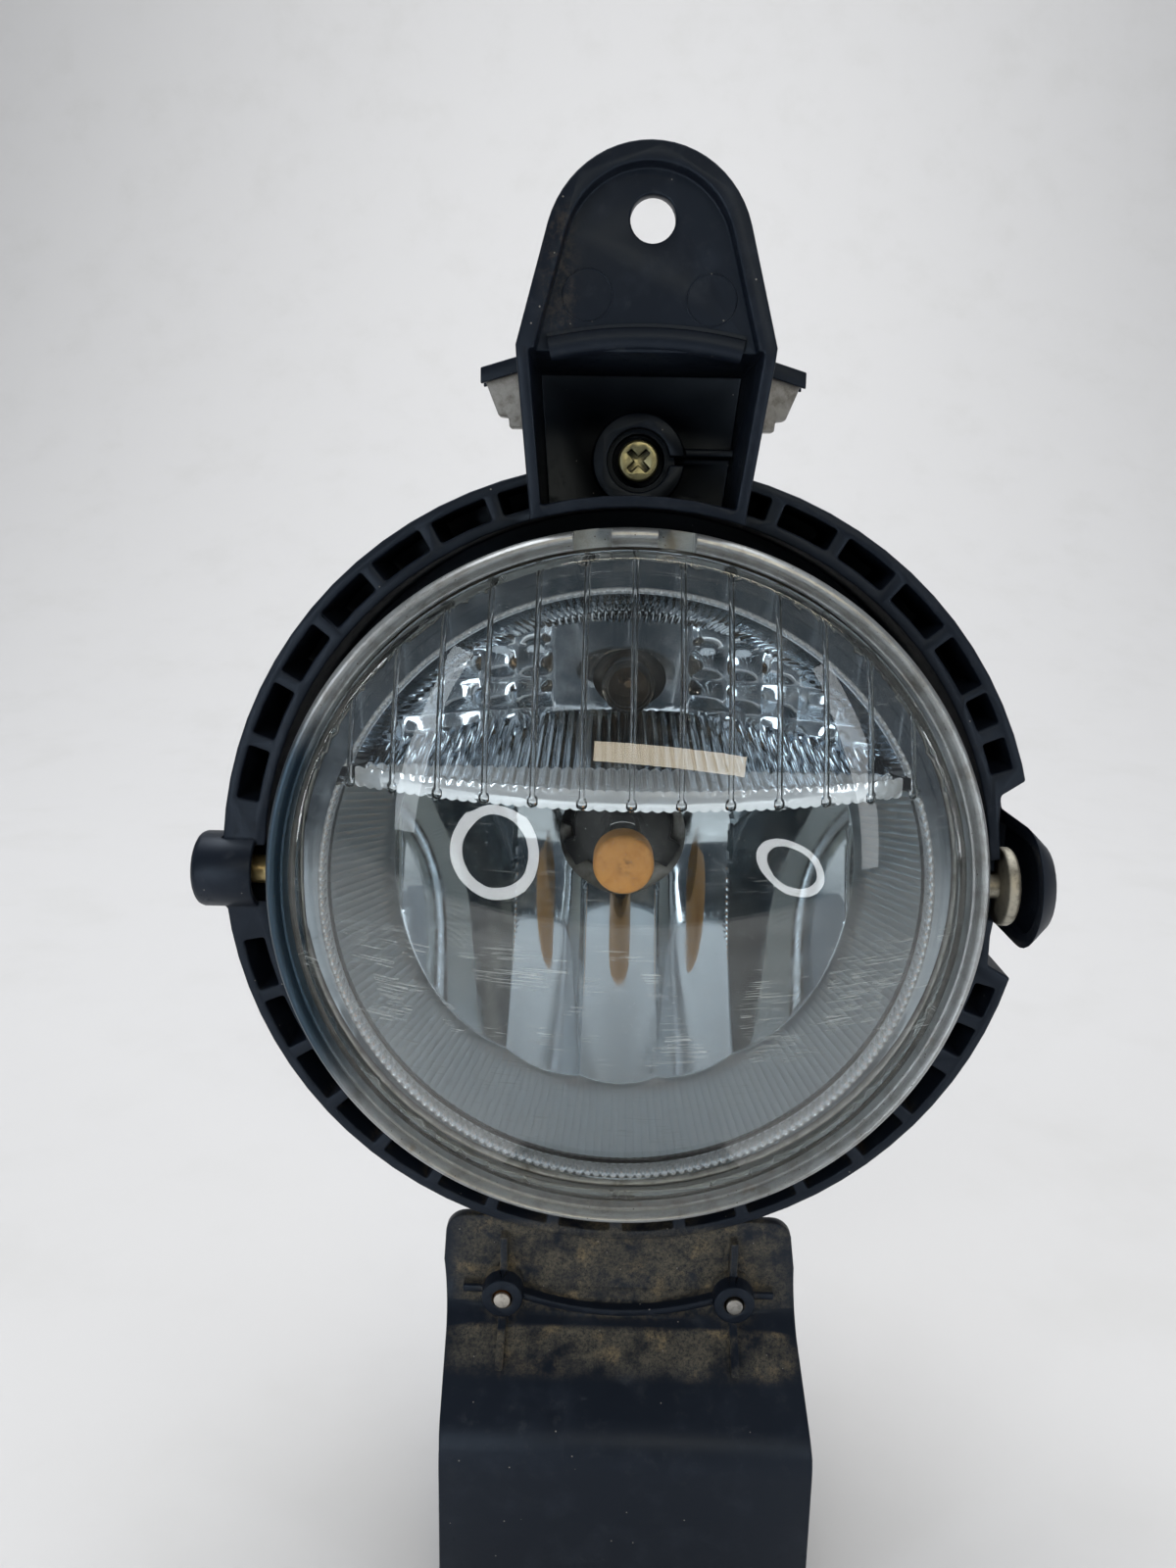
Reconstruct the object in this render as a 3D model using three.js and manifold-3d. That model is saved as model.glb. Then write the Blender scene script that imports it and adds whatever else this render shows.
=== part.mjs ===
// Front fog light in its moulded carrier frame.
// Lengths are millimetres. The lamp looks along -Y, +X is to the right of someone facing it, +Z is up.
// Every piece is drawn around the lamp's own axis, and the last group moves the whole light so that
// the origin lies on the rear seat of the upper bolt tab.
import * as THREE from 'three';
import { mergeVertices } from 'three/addons/utils/BufferGeometryUtils.js';
import Module from 'manifold-3d';

const wasm = await Module();
wasm.setup();

// ---------- driving dimensions ----------
const GAP = 0.3; // running gap between neighbouring pieces
const RING_SEGMENTS = 80; // facets round the ring and everything cut to it

const BEZEL_RADIUS = 62.5;
const LENS = { radius: 58.9, apex: -21, dome: 95, wall: 3, rimBack: 3.5, rimInner: 57.5 };
const LUG = { from: 4.1, to: 9.6, outer: 61.9 }; // clear lugs that sit in the bezel's notches
const PIVOT = { y: 12, z: -0.5 };
const FOG_Z = -2.5; // height of the fog bulb and of the main reflector's axis
const PARKING_Z = 33;
const SCREW_X = 0.8;
const SCREW_Z = 74.3;
const FAR = 80; // reaches past everything, for a cut that goes right through

const RING = { inner: 65.7, wall: 67.7, pocketOuter: 71.5, outer: 73.4, front: 9.2, back: 31, floor: 27 };
const REAR_LIP = { inner: 60.2, front: 28.6 }; // closes the gap round the lamp, as seen from the front
const POCKETS = {
  pitch: 10, wideHalf: 4, narrowHalf: 2.4, firstWide: 35, lastWide: 165, tabHalf: 10,
  narrowCentres: [20.3, 27.3, -18.2, -25.2],
};
const TAB = {
  x: 1, radius: 16.2, centreZ: 103.3, lean: 16, shoulder: 20.4, shoulderZ: 90,
  footX: 0.5, foot: 17.9, footZ: 62, top: 125, front: -3, face: 0.5, rear: 3.5, rim: 3, wall: 2,
  chinZ: 88, chinY: 5, chinFootZ: 66, baseZ: 58,
};
const RECESS = { top: 89.5, roof: 92, back: 30, rear: 33 };
const SEAT_Z = 101; // height of the origin above the lamp's axis
const BOLT_HOLE = { radius: 3.55, x: 1.6, z: 109.2 };
const COLLAR = { outer: 8.4, inner: 5.6, front: 24, slotHalf: 0.7, ribThickness: 1.5, ribEnd: 18 };
const SCREW_HOLE = 3.35;
const PIN = {
  root: 59.3, hole: 59, leftRadius: 2.6, leftTip: -76.4, rightRadius: 2.25, disc: 7.2,
  discFrom: 68.1, discTo: 70.4,
};
const BOSS = { radius: 7, tip: -78.4, mouth: -67.2, step: -71, bore: 2.9, floor: -76.7, mouthRadius: 5.9 };
const HOOD = {
  inner: 72.6, floor: 73.9, outer: 76.3, radius: 12.7, lip: 4.1, bevelX: 71.3, bevelRadius: 7.7,
};
const NOTCH = {
  innerTop: 17, innerBottom: -14.9, outerTop: 21.9, outerBottom: -18.7,
  innerX: 66.6, innerLowX: 67.1, outerX: 73.8, floor: 26,
};
const FORK = { top: 5.1, bottom: -6.1, seat: 2.6, from: 60, to: 72 };
const PLATE = {
  y: 12.2, top: -70, bendStart: -80, bottom: -136, thickness: 2.4, corner: 4,
  hollowRadius: 13, crestRadius: 9, slope: 55, forward: -11,
  topEdge: [-33.4, 34.6], waistZ: -80, waistEdge: [-33.8, 35.4], bendZ: -91, bendEdge: [-32.6, 35.6],
  footZ: -104, footEdge: [-31.9, 36.8],
};
const PLATE_BOSS = { midX: 0.75, reach: 22.5, z: -84.2, radius: 4, front: 5, hole: 1.9, insert: 1.6 };
const PLATE_RIB = {
  half: 0.75, top: -73.2, topFront: 8.5, bottom: -96.7, bottomFront: 5.5, sideFront: 8, sideReach: 4, sag: 7,
};
const INSERT = { start: PLATE_BOSS.front - 0.5, end: 10.4 };

const SEAL = { inner: 57.4, outer: 58.7 };
const BEZEL = { inner: 59.4, crest: 60.4, shoulder: 61.6, front: -3, rear: 4.9 };
const HOUSING = {
  front: 5.2, rim: 61.4, lip: 57.2, rear: 62.3, rearInner: 59.8, rearRadius: 22,
  outside: [[61.4, 14], [59, 20], [56.2, 42], [48, 53], [34, 60.6]], // [radius, y] from rim to rear
  inside: [[57.2, 12], [56.6, 19.5], [53.6, 41], [46, 51], [33, 58.2]],
};
const PIN_BOSS = { radius: 6.5, from: 55, to: 63.3 };
const PAD = { halfWidth: 23, front: 36.5, rear: 49, bottom: 45, top: 60.3 };
const REFLECTOR = { focalTerm: 66, vertex: 55, wall: 2, radius: 52.5, outer: 54.3, front: 6, hole: 13.5 };
const CHAMBER = {
  outer: 52, inner: 50.2, wall: 2, front: 6, back: 39, floorTop: 21.2, floor: 19.7, slope: 0.187, hole: 6,
};
const DIVIDER = { bottom: 17.2, top: 19.4, halfWidth: 47.4, back: 35, lensGap: 8.5 };
const BRIDGE = {
  x: 1.6, front: 43, rear: 47, underCap: 1.9, roofReach: 0.98,
  side: [[30.7, 90.1], [27.9, 83.2], [26, 83], [25.8, 81], [12.5, 81], [12.5, 61]], // [x, z] down the right
  foot: { halfWidth: 22, front: 37, rear: 48.5, top: 63.2 },
};
const ROOF = [[-31.3, 92], [-16, 96.6], [0, 98], [16, 96.6], [31.3, 92]]; // from left to right, [x, z]
const CAP = { overhang: 1.4, lip: 1.1, top: 1.6, depth: 3 };
const BRIDGE_SCREW = { x: 18, y: 42.7, hole: 2.1, radius: 1.8, head: 3.4, end: 53.8, top: 66 };
const NUT = { front: 39.8, grooveFront: 42.5, grooveRear: 47.5, rear: 50.2, flange: 6.5, waist: [4.1, 4.5] };
const SLOT = { halfWidth: 4.4, halfHeight: 6.5 };
const SCREW = {
  front: 25.3, head: 3.7, headRear: 29.6, shank: 3, end: 60, slotLength: 4.8, slotWidth: 1.1, slotDepth: 1.8,
};
const LOCK_RING = { inner: 3.3, outer: 6, thickness: 1.4 };
const VENT = { x: -26, z: 14, bore: 1.8, nipple: 4.4, nippleEnd: 66.5 };
const VENT_CAP = { inner: 4.9, outer: 6.1, front: 64.5, inside: 69.2, rear: 70.5 };
const PARKING_MOUNT = { radius: 12.4, front: 45 };

// A bayonet: a round hole with notches, and lugs that stand turned away from them when locked.
const FOG_BAYONET = { hole: 11.2, neck: 10.7, reach: 13.4, width: 6, angles: [90, 210, 330], turn: 45 };
const PARKING_BAYONET = { hole: 8.7, neck: 8.3, reach: 10.4, width: 4, angles: [0, 180], turn: 45 };
const FOG_BULB = {
  tip: { radius: 6, nose: 26.4, rear: 33, wall: 0.8, round: 0.5 },
  glass: { nose: 27.6, rear: 57.1, radius: 4.9, wall: 0.9, round: 0.8 },
  filament: { coilFrom: 36.2, coilTo: 40.8, rear: 57.1, legX: 1.8 },
  neckFront: 57.4, lugRear: 59.4, flange: 15.5, flangeFront: 64.3, flangeRear: 66.6,
  stem: 11.5, stemRear: 72,
  socket: { halfX: 12, halfZ: 8, front: 70, floor: 76, end: 90, wall: 1.8 },
  seal: { inner: 11.6, outer: 14.8, rear: 64 },
  contact: { x: 3.6, thickness: 0.8, halfHeight: 3.1, front: 76.3, rear: 86 },
};
const PARKING_BULB = {
  glass: { nose: 22.6, rear: 41.3, radius: 5, wall: 0.8, round: 0.8 },
  filament: { coilFrom: 28.2, coilTo: 32.6, rear: 41.3, legX: 1.4 },
  neckFront: 41.6, lugFront: 42.2, lugRear: 44.6, flange: 11, flangeFront: 63.9, flangeRear: 66,
  stem: 7, stemRear: 69,
  socket: { halfX: 7.6, halfZ: 6.2, front: 67, floor: 70, end: 79, wall: 1.3 },
  seal: { inner: 8.9, outer: 11, rear: 63.6 },
  contact: { x: 2.7, thickness: 0.6, halfHeight: 2, front: 70.3, rear: 77 },
};

const radians = THREE.MathUtils.degToRad;

// ---------- solids ----------

// A closed three.js geometry as a manifold solid with its faces pointing out.
function solid(geometry) {
  const loose = geometry.index ? geometry.toNonIndexed() : geometry;
  const bare = new THREE.BufferGeometry().setAttribute('position', loose.getAttribute('position'));
  const merged = mergeVertices(bare, 1e-4);
  const corners = merged.index.array;
  const kept = [];
  for (let i = 0; i < corners.length; i += 3) {
    const [a, b, c] = [corners[i], corners[i + 1], corners[i + 2]];
    if (a !== b && b !== c && c !== a) kept.push(a, b, c);
  }
  const build = (triVerts) => new wasm.Manifold(new wasm.Mesh({
    numProp: 3,
    vertProperties: merged.attributes.position.array,
    triVerts: new Uint32Array(triVerts),
  }));
  const made = build(kept);
  return made.volume() > 0 ? made : build(kept.reverse());
}

function geometryOf(manifold) {
  const { numProp, numVert, vertProperties, triVerts } = manifold.getMesh();
  const positions = new Float32Array(numVert * 3);
  for (let i = 0; i < numVert; i += 1) {
    positions.set(vertProperties.subarray(i * numProp, i * numProp + 3), i * 3);
  }
  const geometry = new THREE.BufferGeometry();
  geometry.setAttribute('position', new THREE.BufferAttribute(positions, 3));
  geometry.setIndex(new THREE.BufferAttribute(new Uint32Array(triVerts), 1));
  geometry.computeVertexNormals();
  return geometry;
}

const join = (first, ...others) => others.reduce((whole, next) => whole.add(next), first);
const cut = (body, ...tools) => tools.reduce((rest, tool) => rest.subtract(tool), body);
const meet = (a, b) => a.intersect(b);

function box([x0, x1], [y0, y1], [z0, z1]) {
  const geometry = new THREE.BoxGeometry(x1 - x0, y1 - y0, z1 - z0);
  geometry.translate((x0 + x1) / 2, (y0 + y1) / 2, (z0 + z1) / 2);
  return solid(geometry);
}

// A profile of [radius, y] points turned about the Y axis. Off the axis, it closes on itself.
function turnedGeometry(profile, segments) {
  const points = profile.map(([radius, y]) => new THREE.Vector2(radius, y));
  if (profile[0][0] > 0) points.push(points[0].clone());
  return new THREE.LatheGeometry(points, segments);
}

const turned = (profile, segments = 48, z = 0, x = 0) => (
  solid(turnedGeometry(profile, segments).translate(x, 0, z)));

// The same about an X axis through (y, z): the profile's points are [radius, x].
const turnedX = (profile, y, z, segments = 32) => (
  solid(turnedGeometry(profile, segments).rotateZ(-Math.PI / 2).translate(0, y, z)));

// The same about a Z axis through (x, y): the profile's points are [radius, z].
const turnedZ = (profile, x, y, segments = 24) => (
  solid(turnedGeometry(profile, segments).rotateX(Math.PI / 2).translate(x, y, 0)));

const rod = (radius, start, end) => [[0, start], [radius, start], [radius, end], [0, end]];
const tube = (inner, outer, start, end) => [[inner, start], [outer, start], [outer, end], [inner, end]];

function extruded(shape, depth, curveSegments) {
  return new THREE.ExtrudeGeometry(shape, { depth, bevelEnabled: false, curveSegments });
}

// A shape drawn in (x, z), pushed along Y from y0 to y1.
const pushedY = (shape, y0, y1, curveSegments = 12) => (
  solid(extruded(shape, y1 - y0, curveSegments).rotateX(Math.PI / 2).translate(0, y1, 0)));

// A shape drawn in (y, z), pushed along X from x0 to x1.
function pushedX(shape, x0, x1, curveSegments = 12) {
  const turn = new THREE.Matrix4().makeBasis(
    new THREE.Vector3(0, 1, 0),
    new THREE.Vector3(0, 0, 1),
    new THREE.Vector3(1, 0, 0),
  );
  return solid(extruded(shape, x1 - x0, curveSegments).applyMatrix4(turn).translate(x0, 0, 0));
}

// A shape drawn in (x, y), pushed up Z from z0 to z1.
const pushedZ = (shape, z0, z1, curveSegments = 12) => (
  solid(extruded(shape, z1 - z0, curveSegments).translate(0, 0, z0)));

const polygon = (points) => new THREE.Shape(points.map(([a, b]) => new THREE.Vector2(a, b)));

// A strip of even thickness along a line of points.
function strip(points, thickness) {
  const sides = [1, -1].map((side) => points.map((point, i) => {
    const before = points[Math.max(i - 1, 0)];
    const after = points[Math.min(i + 1, points.length - 1)];
    const along = after.clone().sub(before).normalize();
    const across = new THREE.Vector2(-along.y, along.x);
    return point.clone().addScaledVector(across, (side * thickness) / 2);
  }));
  return new THREE.Shape([...sides[0], ...sides[1].reverse()]);
}

// ---------- carrier frame ----------

// The front outline of the tab and the recess below it, drawn inset from the outside.
function tabShape(inset) {
  const radius = TAB.radius - inset;
  const lean = radians(TAB.lean);
  const tangentX = radius * Math.cos(lean);
  const tangentZ = TAB.centreZ + radius * Math.sin(lean);
  const shape = new THREE.Shape();
  shape.moveTo(TAB.footX - TAB.foot + inset, TAB.footZ);
  shape.lineTo(TAB.x - TAB.shoulder + inset, TAB.shoulderZ);
  shape.lineTo(TAB.x - tangentX, tangentZ);
  shape.absarc(TAB.x, TAB.centreZ, radius, Math.PI - lean, lean, true);
  shape.lineTo(TAB.x + tangentX, tangentZ);
  shape.lineTo(TAB.x + TAB.shoulder - inset, TAB.shoulderZ);
  shape.lineTo(TAB.footX + TAB.foot - inset, TAB.footZ);
  return shape;
}

function pocket(fromDegrees, toDegrees) {
  const [from, to] = [radians(fromDegrees), radians(toDegrees)];
  const shape = new THREE.Shape();
  shape.absarc(0, 0, RING.pocketOuter, from, to, false);
  shape.absarc(0, 0, RING.wall, to, from, true);
  return pushedY(shape, RING.front - 1, RING.floor, 1);
}

// Wide pockets stand on an even pitch either side of the tab, and narrow ones flank the pivot notch.
function pockets() {
  const { pitch, wideHalf, narrowHalf, firstWide, lastWide, tabHalf, narrowCentres } = POCKETS;
  const wideCentres = [];
  for (let angle = firstWide; angle <= lastWide; angle += pitch) {
    if (Math.abs(angle - 90) > tabHalf) wideCentres.push(angle);
    wideCentres.push(-angle);
  }
  return [
    ...wideCentres.map((angle) => pocket(angle - wideHalf, angle + wideHalf)),
    ...narrowCentres.map((angle) => pocket(angle - narrowHalf, angle + narrowHalf)),
  ];
}

const ringWallRod = (start, end) => turned(rod(RING.wall, start, end), RING_SEGMENTS);

// The tab plate with its rim, and the recess box behind it.
function upperTab() {
  const side = polygon([
    [TAB.front, TAB.top], [TAB.front, TAB.chinZ], [TAB.chinY, TAB.chinFootZ], [TAB.chinY, TAB.baseZ],
    [RECESS.rear, TAB.baseZ], [RECESS.rear, RECESS.roof], [TAB.rear, RECESS.roof], [TAB.rear, TAB.top],
  ]);
  const block = meet(pushedY(tabShape(0), TAB.front, RECESS.rear), pushedX(side, -FAR, FAR));
  const dish = meet(
    pushedY(tabShape(TAB.rim), TAB.front - 1, TAB.face),
    box([-FAR, FAR], [TAB.front - 1, TAB.face], [RECESS.top - 1, TAB.top]),
  );
  const recess = cut(
    meet(
      pushedY(tabShape(TAB.wall), TAB.front - 1, RECESS.back),
      box([-FAR, FAR], [TAB.front - 1, RECESS.back], [0, RECESS.top]),
    ),
    ringWallRod(TAB.front - 2, RECESS.rear),
  );
  const boltHole = turned(rod(BOLT_HOLE.radius, TAB.front - 2, TAB.rear + 1), 32, BOLT_HOLE.z, BOLT_HOLE.x);
  return { block, openings: [dish, recess, boltHole] };
}

// The split collar round the screw's head, with a rib to the recess's right cheek.
function screwCollar() {
  const { outer, inner, front, slotHalf, ribThickness, ribEnd } = COLLAR;
  const slotEnds = [SCREW_X + inner - 1, SCREW_X + outer + 1];
  const ring = cut(
    turned(rod(outer, front, RECESS.back + 1), 40, SCREW_Z, SCREW_X),
    turned(rod(inner, front - 1, RECESS.back), 32, SCREW_Z, SCREW_X),
    box(slotEnds, [front - 1, RECESS.back], [SCREW_Z - slotHalf, SCREW_Z + slotHalf]),
  );
  const ribHeight = [SCREW_Z + slotHalf, SCREW_Z + slotHalf + ribThickness];
  const rib = box([SCREW_X + outer - 0.4, ribEnd], [front + 0.5, RECESS.back + 1], ribHeight);
  return join(ring, rib);
}

function leftBoss() {
  const { tip, radius, mouth, mouthRadius, step, bore, floor } = BOSS;
  const nose = [[0, tip], [radius - 1.2, tip], [radius - 0.3, tip + 0.5], [radius, tip + 1.4]];
  const body = turnedX([...nose, [radius, mouth], [0, mouth]], PIVOT.y, PIVOT.z);
  const hollow = join(
    turnedX(rod(mouthRadius, step, mouth + 1), PIVOT.y, PIVOT.z),
    turnedX(rod(bore, floor, mouth + 1), PIVOT.y, PIVOT.z),
    turnedX(rod(mouthRadius, mouth, -RING.inner + 1), PIVOT.y, PIVOT.z),
  );
  return { body, hollow };
}

// The hood's outline in (y, z): a half round nose with straight edges running back.
function hoodShape(inset, back) {
  const radius = HOOD.radius - inset;
  const shape = new THREE.Shape();
  shape.moveTo(back, PIVOT.z + radius);
  shape.lineTo(PIVOT.y, PIVOT.z + radius);
  shape.absarc(PIVOT.y, PIVOT.z, radius, Math.PI / 2, (3 * Math.PI) / 2, false);
  shape.lineTo(back, PIVOT.z - radius);
  return shape;
}

function pivotHood() {
  const plate = pushedX(hoodShape(0, RING.back), HOOD.inner, HOOD.outer);
  const dish = pushedX(hoodShape(HOOD.lip, NOTCH.floor), HOOD.inner - 1, HOOD.floor);
  const web = box(
    [RING.inner + 1, HOOD.outer],
    [NOTCH.floor, RING.back],
    [PIVOT.z - HOOD.radius, PIVOT.z + HOOD.radius],
  );
  return meet(join(cut(plate, dish), web), hoodBevel());
}

// The room the hood's sloping outer edges stay inside, round the nose and straight on to the rear.
function hoodBevel() {
  const { radius, outer, bevelX, bevelRadius } = HOOD;
  const profile = [[0, 0], [radius, 0], [radius, bevelX], [bevelRadius, outer], [0, outer]];
  const nose = turnedX(profile, PIVOT.y, PIVOT.z);
  const section = polygon([
    [0, PIVOT.z + radius], [bevelX, PIVOT.z + radius], [outer, PIVOT.z + bevelRadius],
    [outer, PIVOT.z - bevelRadius], [bevelX, PIVOT.z - radius], [0, PIVOT.z - radius],
  ]);
  return join(nose, pushedY(section, PIVOT.y, RING.back));
}

// The notch through the ring's outer wall, and the fork in its inner wall that cradles the pin.
function pivotNotch() {
  const { innerX, innerLowX, outerX, innerTop, innerBottom, outerTop, outerBottom, floor } = NOTCH;
  const outline = polygon([
    [innerX, innerTop], [outerX, outerTop], [FAR, outerTop],
    [FAR, outerBottom], [outerX, outerBottom], [innerLowX, innerBottom],
  ]);
  const notch = cut(pushedY(outline, RING.front - 1, floor), ringWallRod(RING.front - 2, RING.back));
  const mouth = box([FORK.from, FORK.to], [RING.front - 1, PIVOT.y], [FORK.bottom, FORK.top]);
  const seat = turnedX(rod(FORK.seat, FORK.from, FORK.to), PIVOT.y, PIVOT.z);
  return [notch, mouth, seat];
}

// The plate's side line in (y, z): down, forward along a slope, then down again.
function plateLine() {
  const slope = radians(PLATE.slope);
  const heading = new THREE.Vector2(-Math.sin(slope), -Math.cos(slope));
  const hollowEnd = new THREE.Vector2(
    PLATE.y - PLATE.hollowRadius * (1 - Math.cos(slope)),
    PLATE.bendStart - PLATE.hollowRadius * Math.sin(slope),
  );
  const crestDrop = PLATE.crestRadius * (1 - Math.cos(slope));
  const run = (hollowEnd.x - crestDrop - PLATE.forward) / Math.sin(slope);
  const crestStart = hollowEnd.clone().addScaledVector(heading, run);
  const crestCentre = new THREE.Vector2(
    crestStart.x + PLATE.crestRadius * Math.cos(slope),
    crestStart.y - PLATE.crestRadius * Math.sin(slope),
  );
  const line = new THREE.Path();
  line.moveTo(PLATE.y, PLATE.top);
  line.lineTo(PLATE.y, PLATE.bendStart);
  line.absarc(PLATE.y - PLATE.hollowRadius, PLATE.bendStart, PLATE.hollowRadius, 0, -slope, true);
  line.absarc(crestCentre.x, crestCentre.y, PLATE.crestRadius, Math.PI - slope, Math.PI, false);
  line.lineTo(PLATE.forward, PLATE.bottom);
  return line.getPoints(5);
}

// The plate's front outline. Its two sides differ: it leans a little to the right on its way down.
function plateShape() {
  const { top, bottom, corner, topEdge, waistZ, waistEdge, bendZ, bendEdge, footZ, footEdge } = PLATE;
  const sides = [[bottom - 1, footEdge], [footZ, footEdge], [bendZ, bendEdge], [waistZ, waistEdge]];
  const shape = new THREE.Shape();
  shape.moveTo(footEdge[0], bottom - 1);
  sides.slice(1).forEach(([z, [left]]) => shape.lineTo(left, z));
  shape.absarc(topEdge[0] + corner, top - corner, corner, Math.PI, Math.PI / 2, true);
  shape.absarc(topEdge[1] - corner, top - corner, corner, Math.PI / 2, 0, true);
  sides.reverse().forEach(([z, [, right]]) => shape.lineTo(right, z));
  return shape;
}

function lowerPlate() {
  const sheet = meet(
    pushedX(strip(plateLine(), PLATE.thickness), -FAR, FAR),
    pushedY(plateShape(), -FAR, FAR, 4),
  );
  const clearOfPockets = turned(rod(RING.outer - 1, RING.front - 5, RING.back), RING_SEGMENTS);
  return join(cut(sheet, clearOfPockets), ...plateBosses());
}

const plateBossX = (side) => PLATE_BOSS.midX + side * PLATE_BOSS.reach;

// Two screw bosses with ribs above, below and beside them, and a sagging rib from one to the other.
function plateBosses() {
  const { z, radius, front } = PLATE_BOSS;
  const { half, top, topFront, bottom, bottomFront, sideFront, sideReach, sag } = PLATE_RIB;
  const inSheet = PLATE.y;
  const inBoss = radius - 1;
  const pieces = [];
  [-1, 1].forEach((side) => {
    const x = plateBossX(side);
    const ribX = [x - half, x + half];
    const outward = [x + side * inBoss, x + side * (radius + sideReach)].sort((a, b) => a - b);
    pieces.push(
      turned(rod(radius, front, inSheet), 28, z, x),
      box(ribX, [topFront, inSheet], [z + inBoss, top]),
      box(ribX, [bottomFront, inSheet - 2], [bottom, z - inBoss]),
      box(outward, [sideFront, inSheet], [z - half, z + half]),
    );
  });
  const line = new THREE.QuadraticBezierCurve(
    new THREE.Vector2(plateBossX(-1) + inBoss, z),
    new THREE.Vector2(PLATE_BOSS.midX, z - sag),
    new THREE.Vector2(plateBossX(1) - inBoss, z),
  );
  pieces.push(pushedY(strip(line.getPoints(12), 2 * half), bottomFront + 1, inSheet));
  return pieces;
}

function carrierFrame() {
  const ring = cut(turned(tube(RING.inner, RING.outer, RING.front, RING.back), RING_SEGMENTS), ...pockets());
  const tab = upperTab();
  const boss = leftBoss();
  const lampRoom = turned(rod(RING.inner, -FAR, FAR), RING_SEGMENTS);
  const hoodRoom = turnedX(rod(HOOD.radius, HOOD.inner - 1, HOOD.outer), PIVOT.y, PIVOT.z);
  const screwHole = turned(rod(SCREW_HOLE, RECESS.back - 1, RECESS.rear + 1), 32, SCREW_Z, SCREW_X);
  const insertHole = rod(PLATE_BOSS.hole, PLATE_BOSS.front - 1, INSERT.end + GAP);
  const insertHoles = [-1, 1].map((side) => turned(insertHole, 20, PLATE_BOSS.z, plateBossX(side)));
  const walls = cut(join(ring, tab.block), ...tab.openings, ...pivotNotch());
  const frame = cut(
    join(walls, screwCollar(), boss.body, pivotHood(), lowerPlate()),
    cut(lampRoom, hoodRoom),
    boss.hollow,
    screwHole,
    ...insertHoles,
  );
  return join(frame, turned(tube(REAR_LIP.inner, RING.wall, REAR_LIP.front, RING.back), RING_SEGMENTS));
}

const plateInsert = () => turned(rod(PLATE_BOSS.insert, INSERT.start, INSERT.end), 20);

// ---------- lamp unit ----------

const lensFront = (radius) => LENS.apex + LENS.dome - Math.sqrt(LENS.dome ** 2 - radius ** 2);
const lensInside = (radius) => (
  LENS.apex + LENS.dome - Math.sqrt((LENS.dome - LENS.wall) ** 2 - radius ** 2));

// Radii from 0 to the outermost, evenly spaced.
const steps = (outermost, count) => Array.from({ length: count + 1 }, (_, i) => (outermost * i) / count);

function lens() {
  const { radius, rimBack, rimInner } = LENS;
  const front = steps(radius, 5).map((r) => [r, lensFront(r)]);
  const inside = steps(rimInner, 4).map((r) => [r, lensInside(r)]).reverse();
  const dome = turned([...front, [radius, rimBack], [rimInner, rimBack], ...inside], 48);
  const lugs = [-1, 1].map((side) => {
    const across = [side * LUG.from, side * LUG.to].sort((a, b) => a - b);
    return box(across, [-0.3, 2.5], [radius - 1, LUG.outer]);
  });
  return join(dome, ...lugs);
}

function bezelRing() {
  const { inner, crest, shoulder, front, rear } = BEZEL;
  const ring = turned([
    [inner, rear], [inner, front + 1.4], [crest, front], [shoulder, front + 0.6],
    [BEZEL_RADIUS, front + 2.6], [BEZEL_RADIUS, rear],
  ], 72);
  const notches = [-1, 1].map((side) => {
    const across = [side * (LUG.from - 0.4), side * (LUG.to + 0.4)].sort((a, b) => a - b);
    return box(across, [front - 1, rear - 2], [inner - 4, LUG.outer + GAP]);
  });
  return cut(ring, ...notches);
}

const lensSeal = () => turned(tube(SEAL.inner, SEAL.outer, LENS.rimBack + GAP, HOUSING.front - GAP), 48);

// The cast bowl, with bosses for the pins, the parking holder, the vent and the bridge.
function lampHousing() {
  const { front, rim, lip, rear, rearInner, rearRadius, outside, inside } = HOUSING;
  const outer = turned([[0, front], [rim, front], ...outside, [rearRadius, rear], [0, rear]], 52);
  const hollowFront = [[0, front - 1], [lip, front - 1]];
  const inner = turned([...hollowFront, ...inside, [rearRadius, rearInner], [0, rearInner]], 52);
  const pinBosses = [-1, 1].map((side) => (
    turnedX(rod(PIN_BOSS.radius, side * PIN_BOSS.from, side * PIN_BOSS.to), PIVOT.y, PIVOT.z)));
  const pad = box([-PAD.halfWidth, PAD.halfWidth], [PAD.front, PAD.rear], [PAD.bottom, PAD.top]);
  const parkingBoss = turned(rod(PARKING_MOUNT.radius, PARKING_MOUNT.front, rear), 40, PARKING_Z);
  const nipple = turned(rod(VENT.nipple, rearInner - GAP, VENT.nippleEnd), 24, VENT.z, VENT.x);
  const shell = join(cut(join(outer, pad, ...pinBosses), inner), parkingBoss, nipple);
  const pinHoles = [
    turnedX(rod(PIN.leftRadius + GAP, -FAR, -PIN.hole), PIVOT.y, PIVOT.z),
    turnedX(rod(PIN.rightRadius + GAP, PIN.hole, FAR), PIVOT.y, PIVOT.z),
  ];
  return cut(
    shell,
    ...pinHoles,
    ...bridgeScrewHoles(),
    turned(rod(VENT.bore, PARKING_MOUNT.front, FAR), 16, VENT.z, VENT.x),
    bayonetHole(FOG_BAYONET, FOG_Z, [PARKING_MOUNT.front, FAR]),
    bayonetHole(PARKING_BAYONET, PARKING_Z, [PARKING_MOUNT.front - 5, FAR]),
  );
}

const bridgeScrewHoles = () => [-1, 1].map((side) => (
  turnedZ(rod(BRIDGE_SCREW.hole, BRIDGE_SCREW.end - GAP, FAR), side * BRIDGE_SCREW.x, BRIDGE_SCREW.y)));

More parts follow.
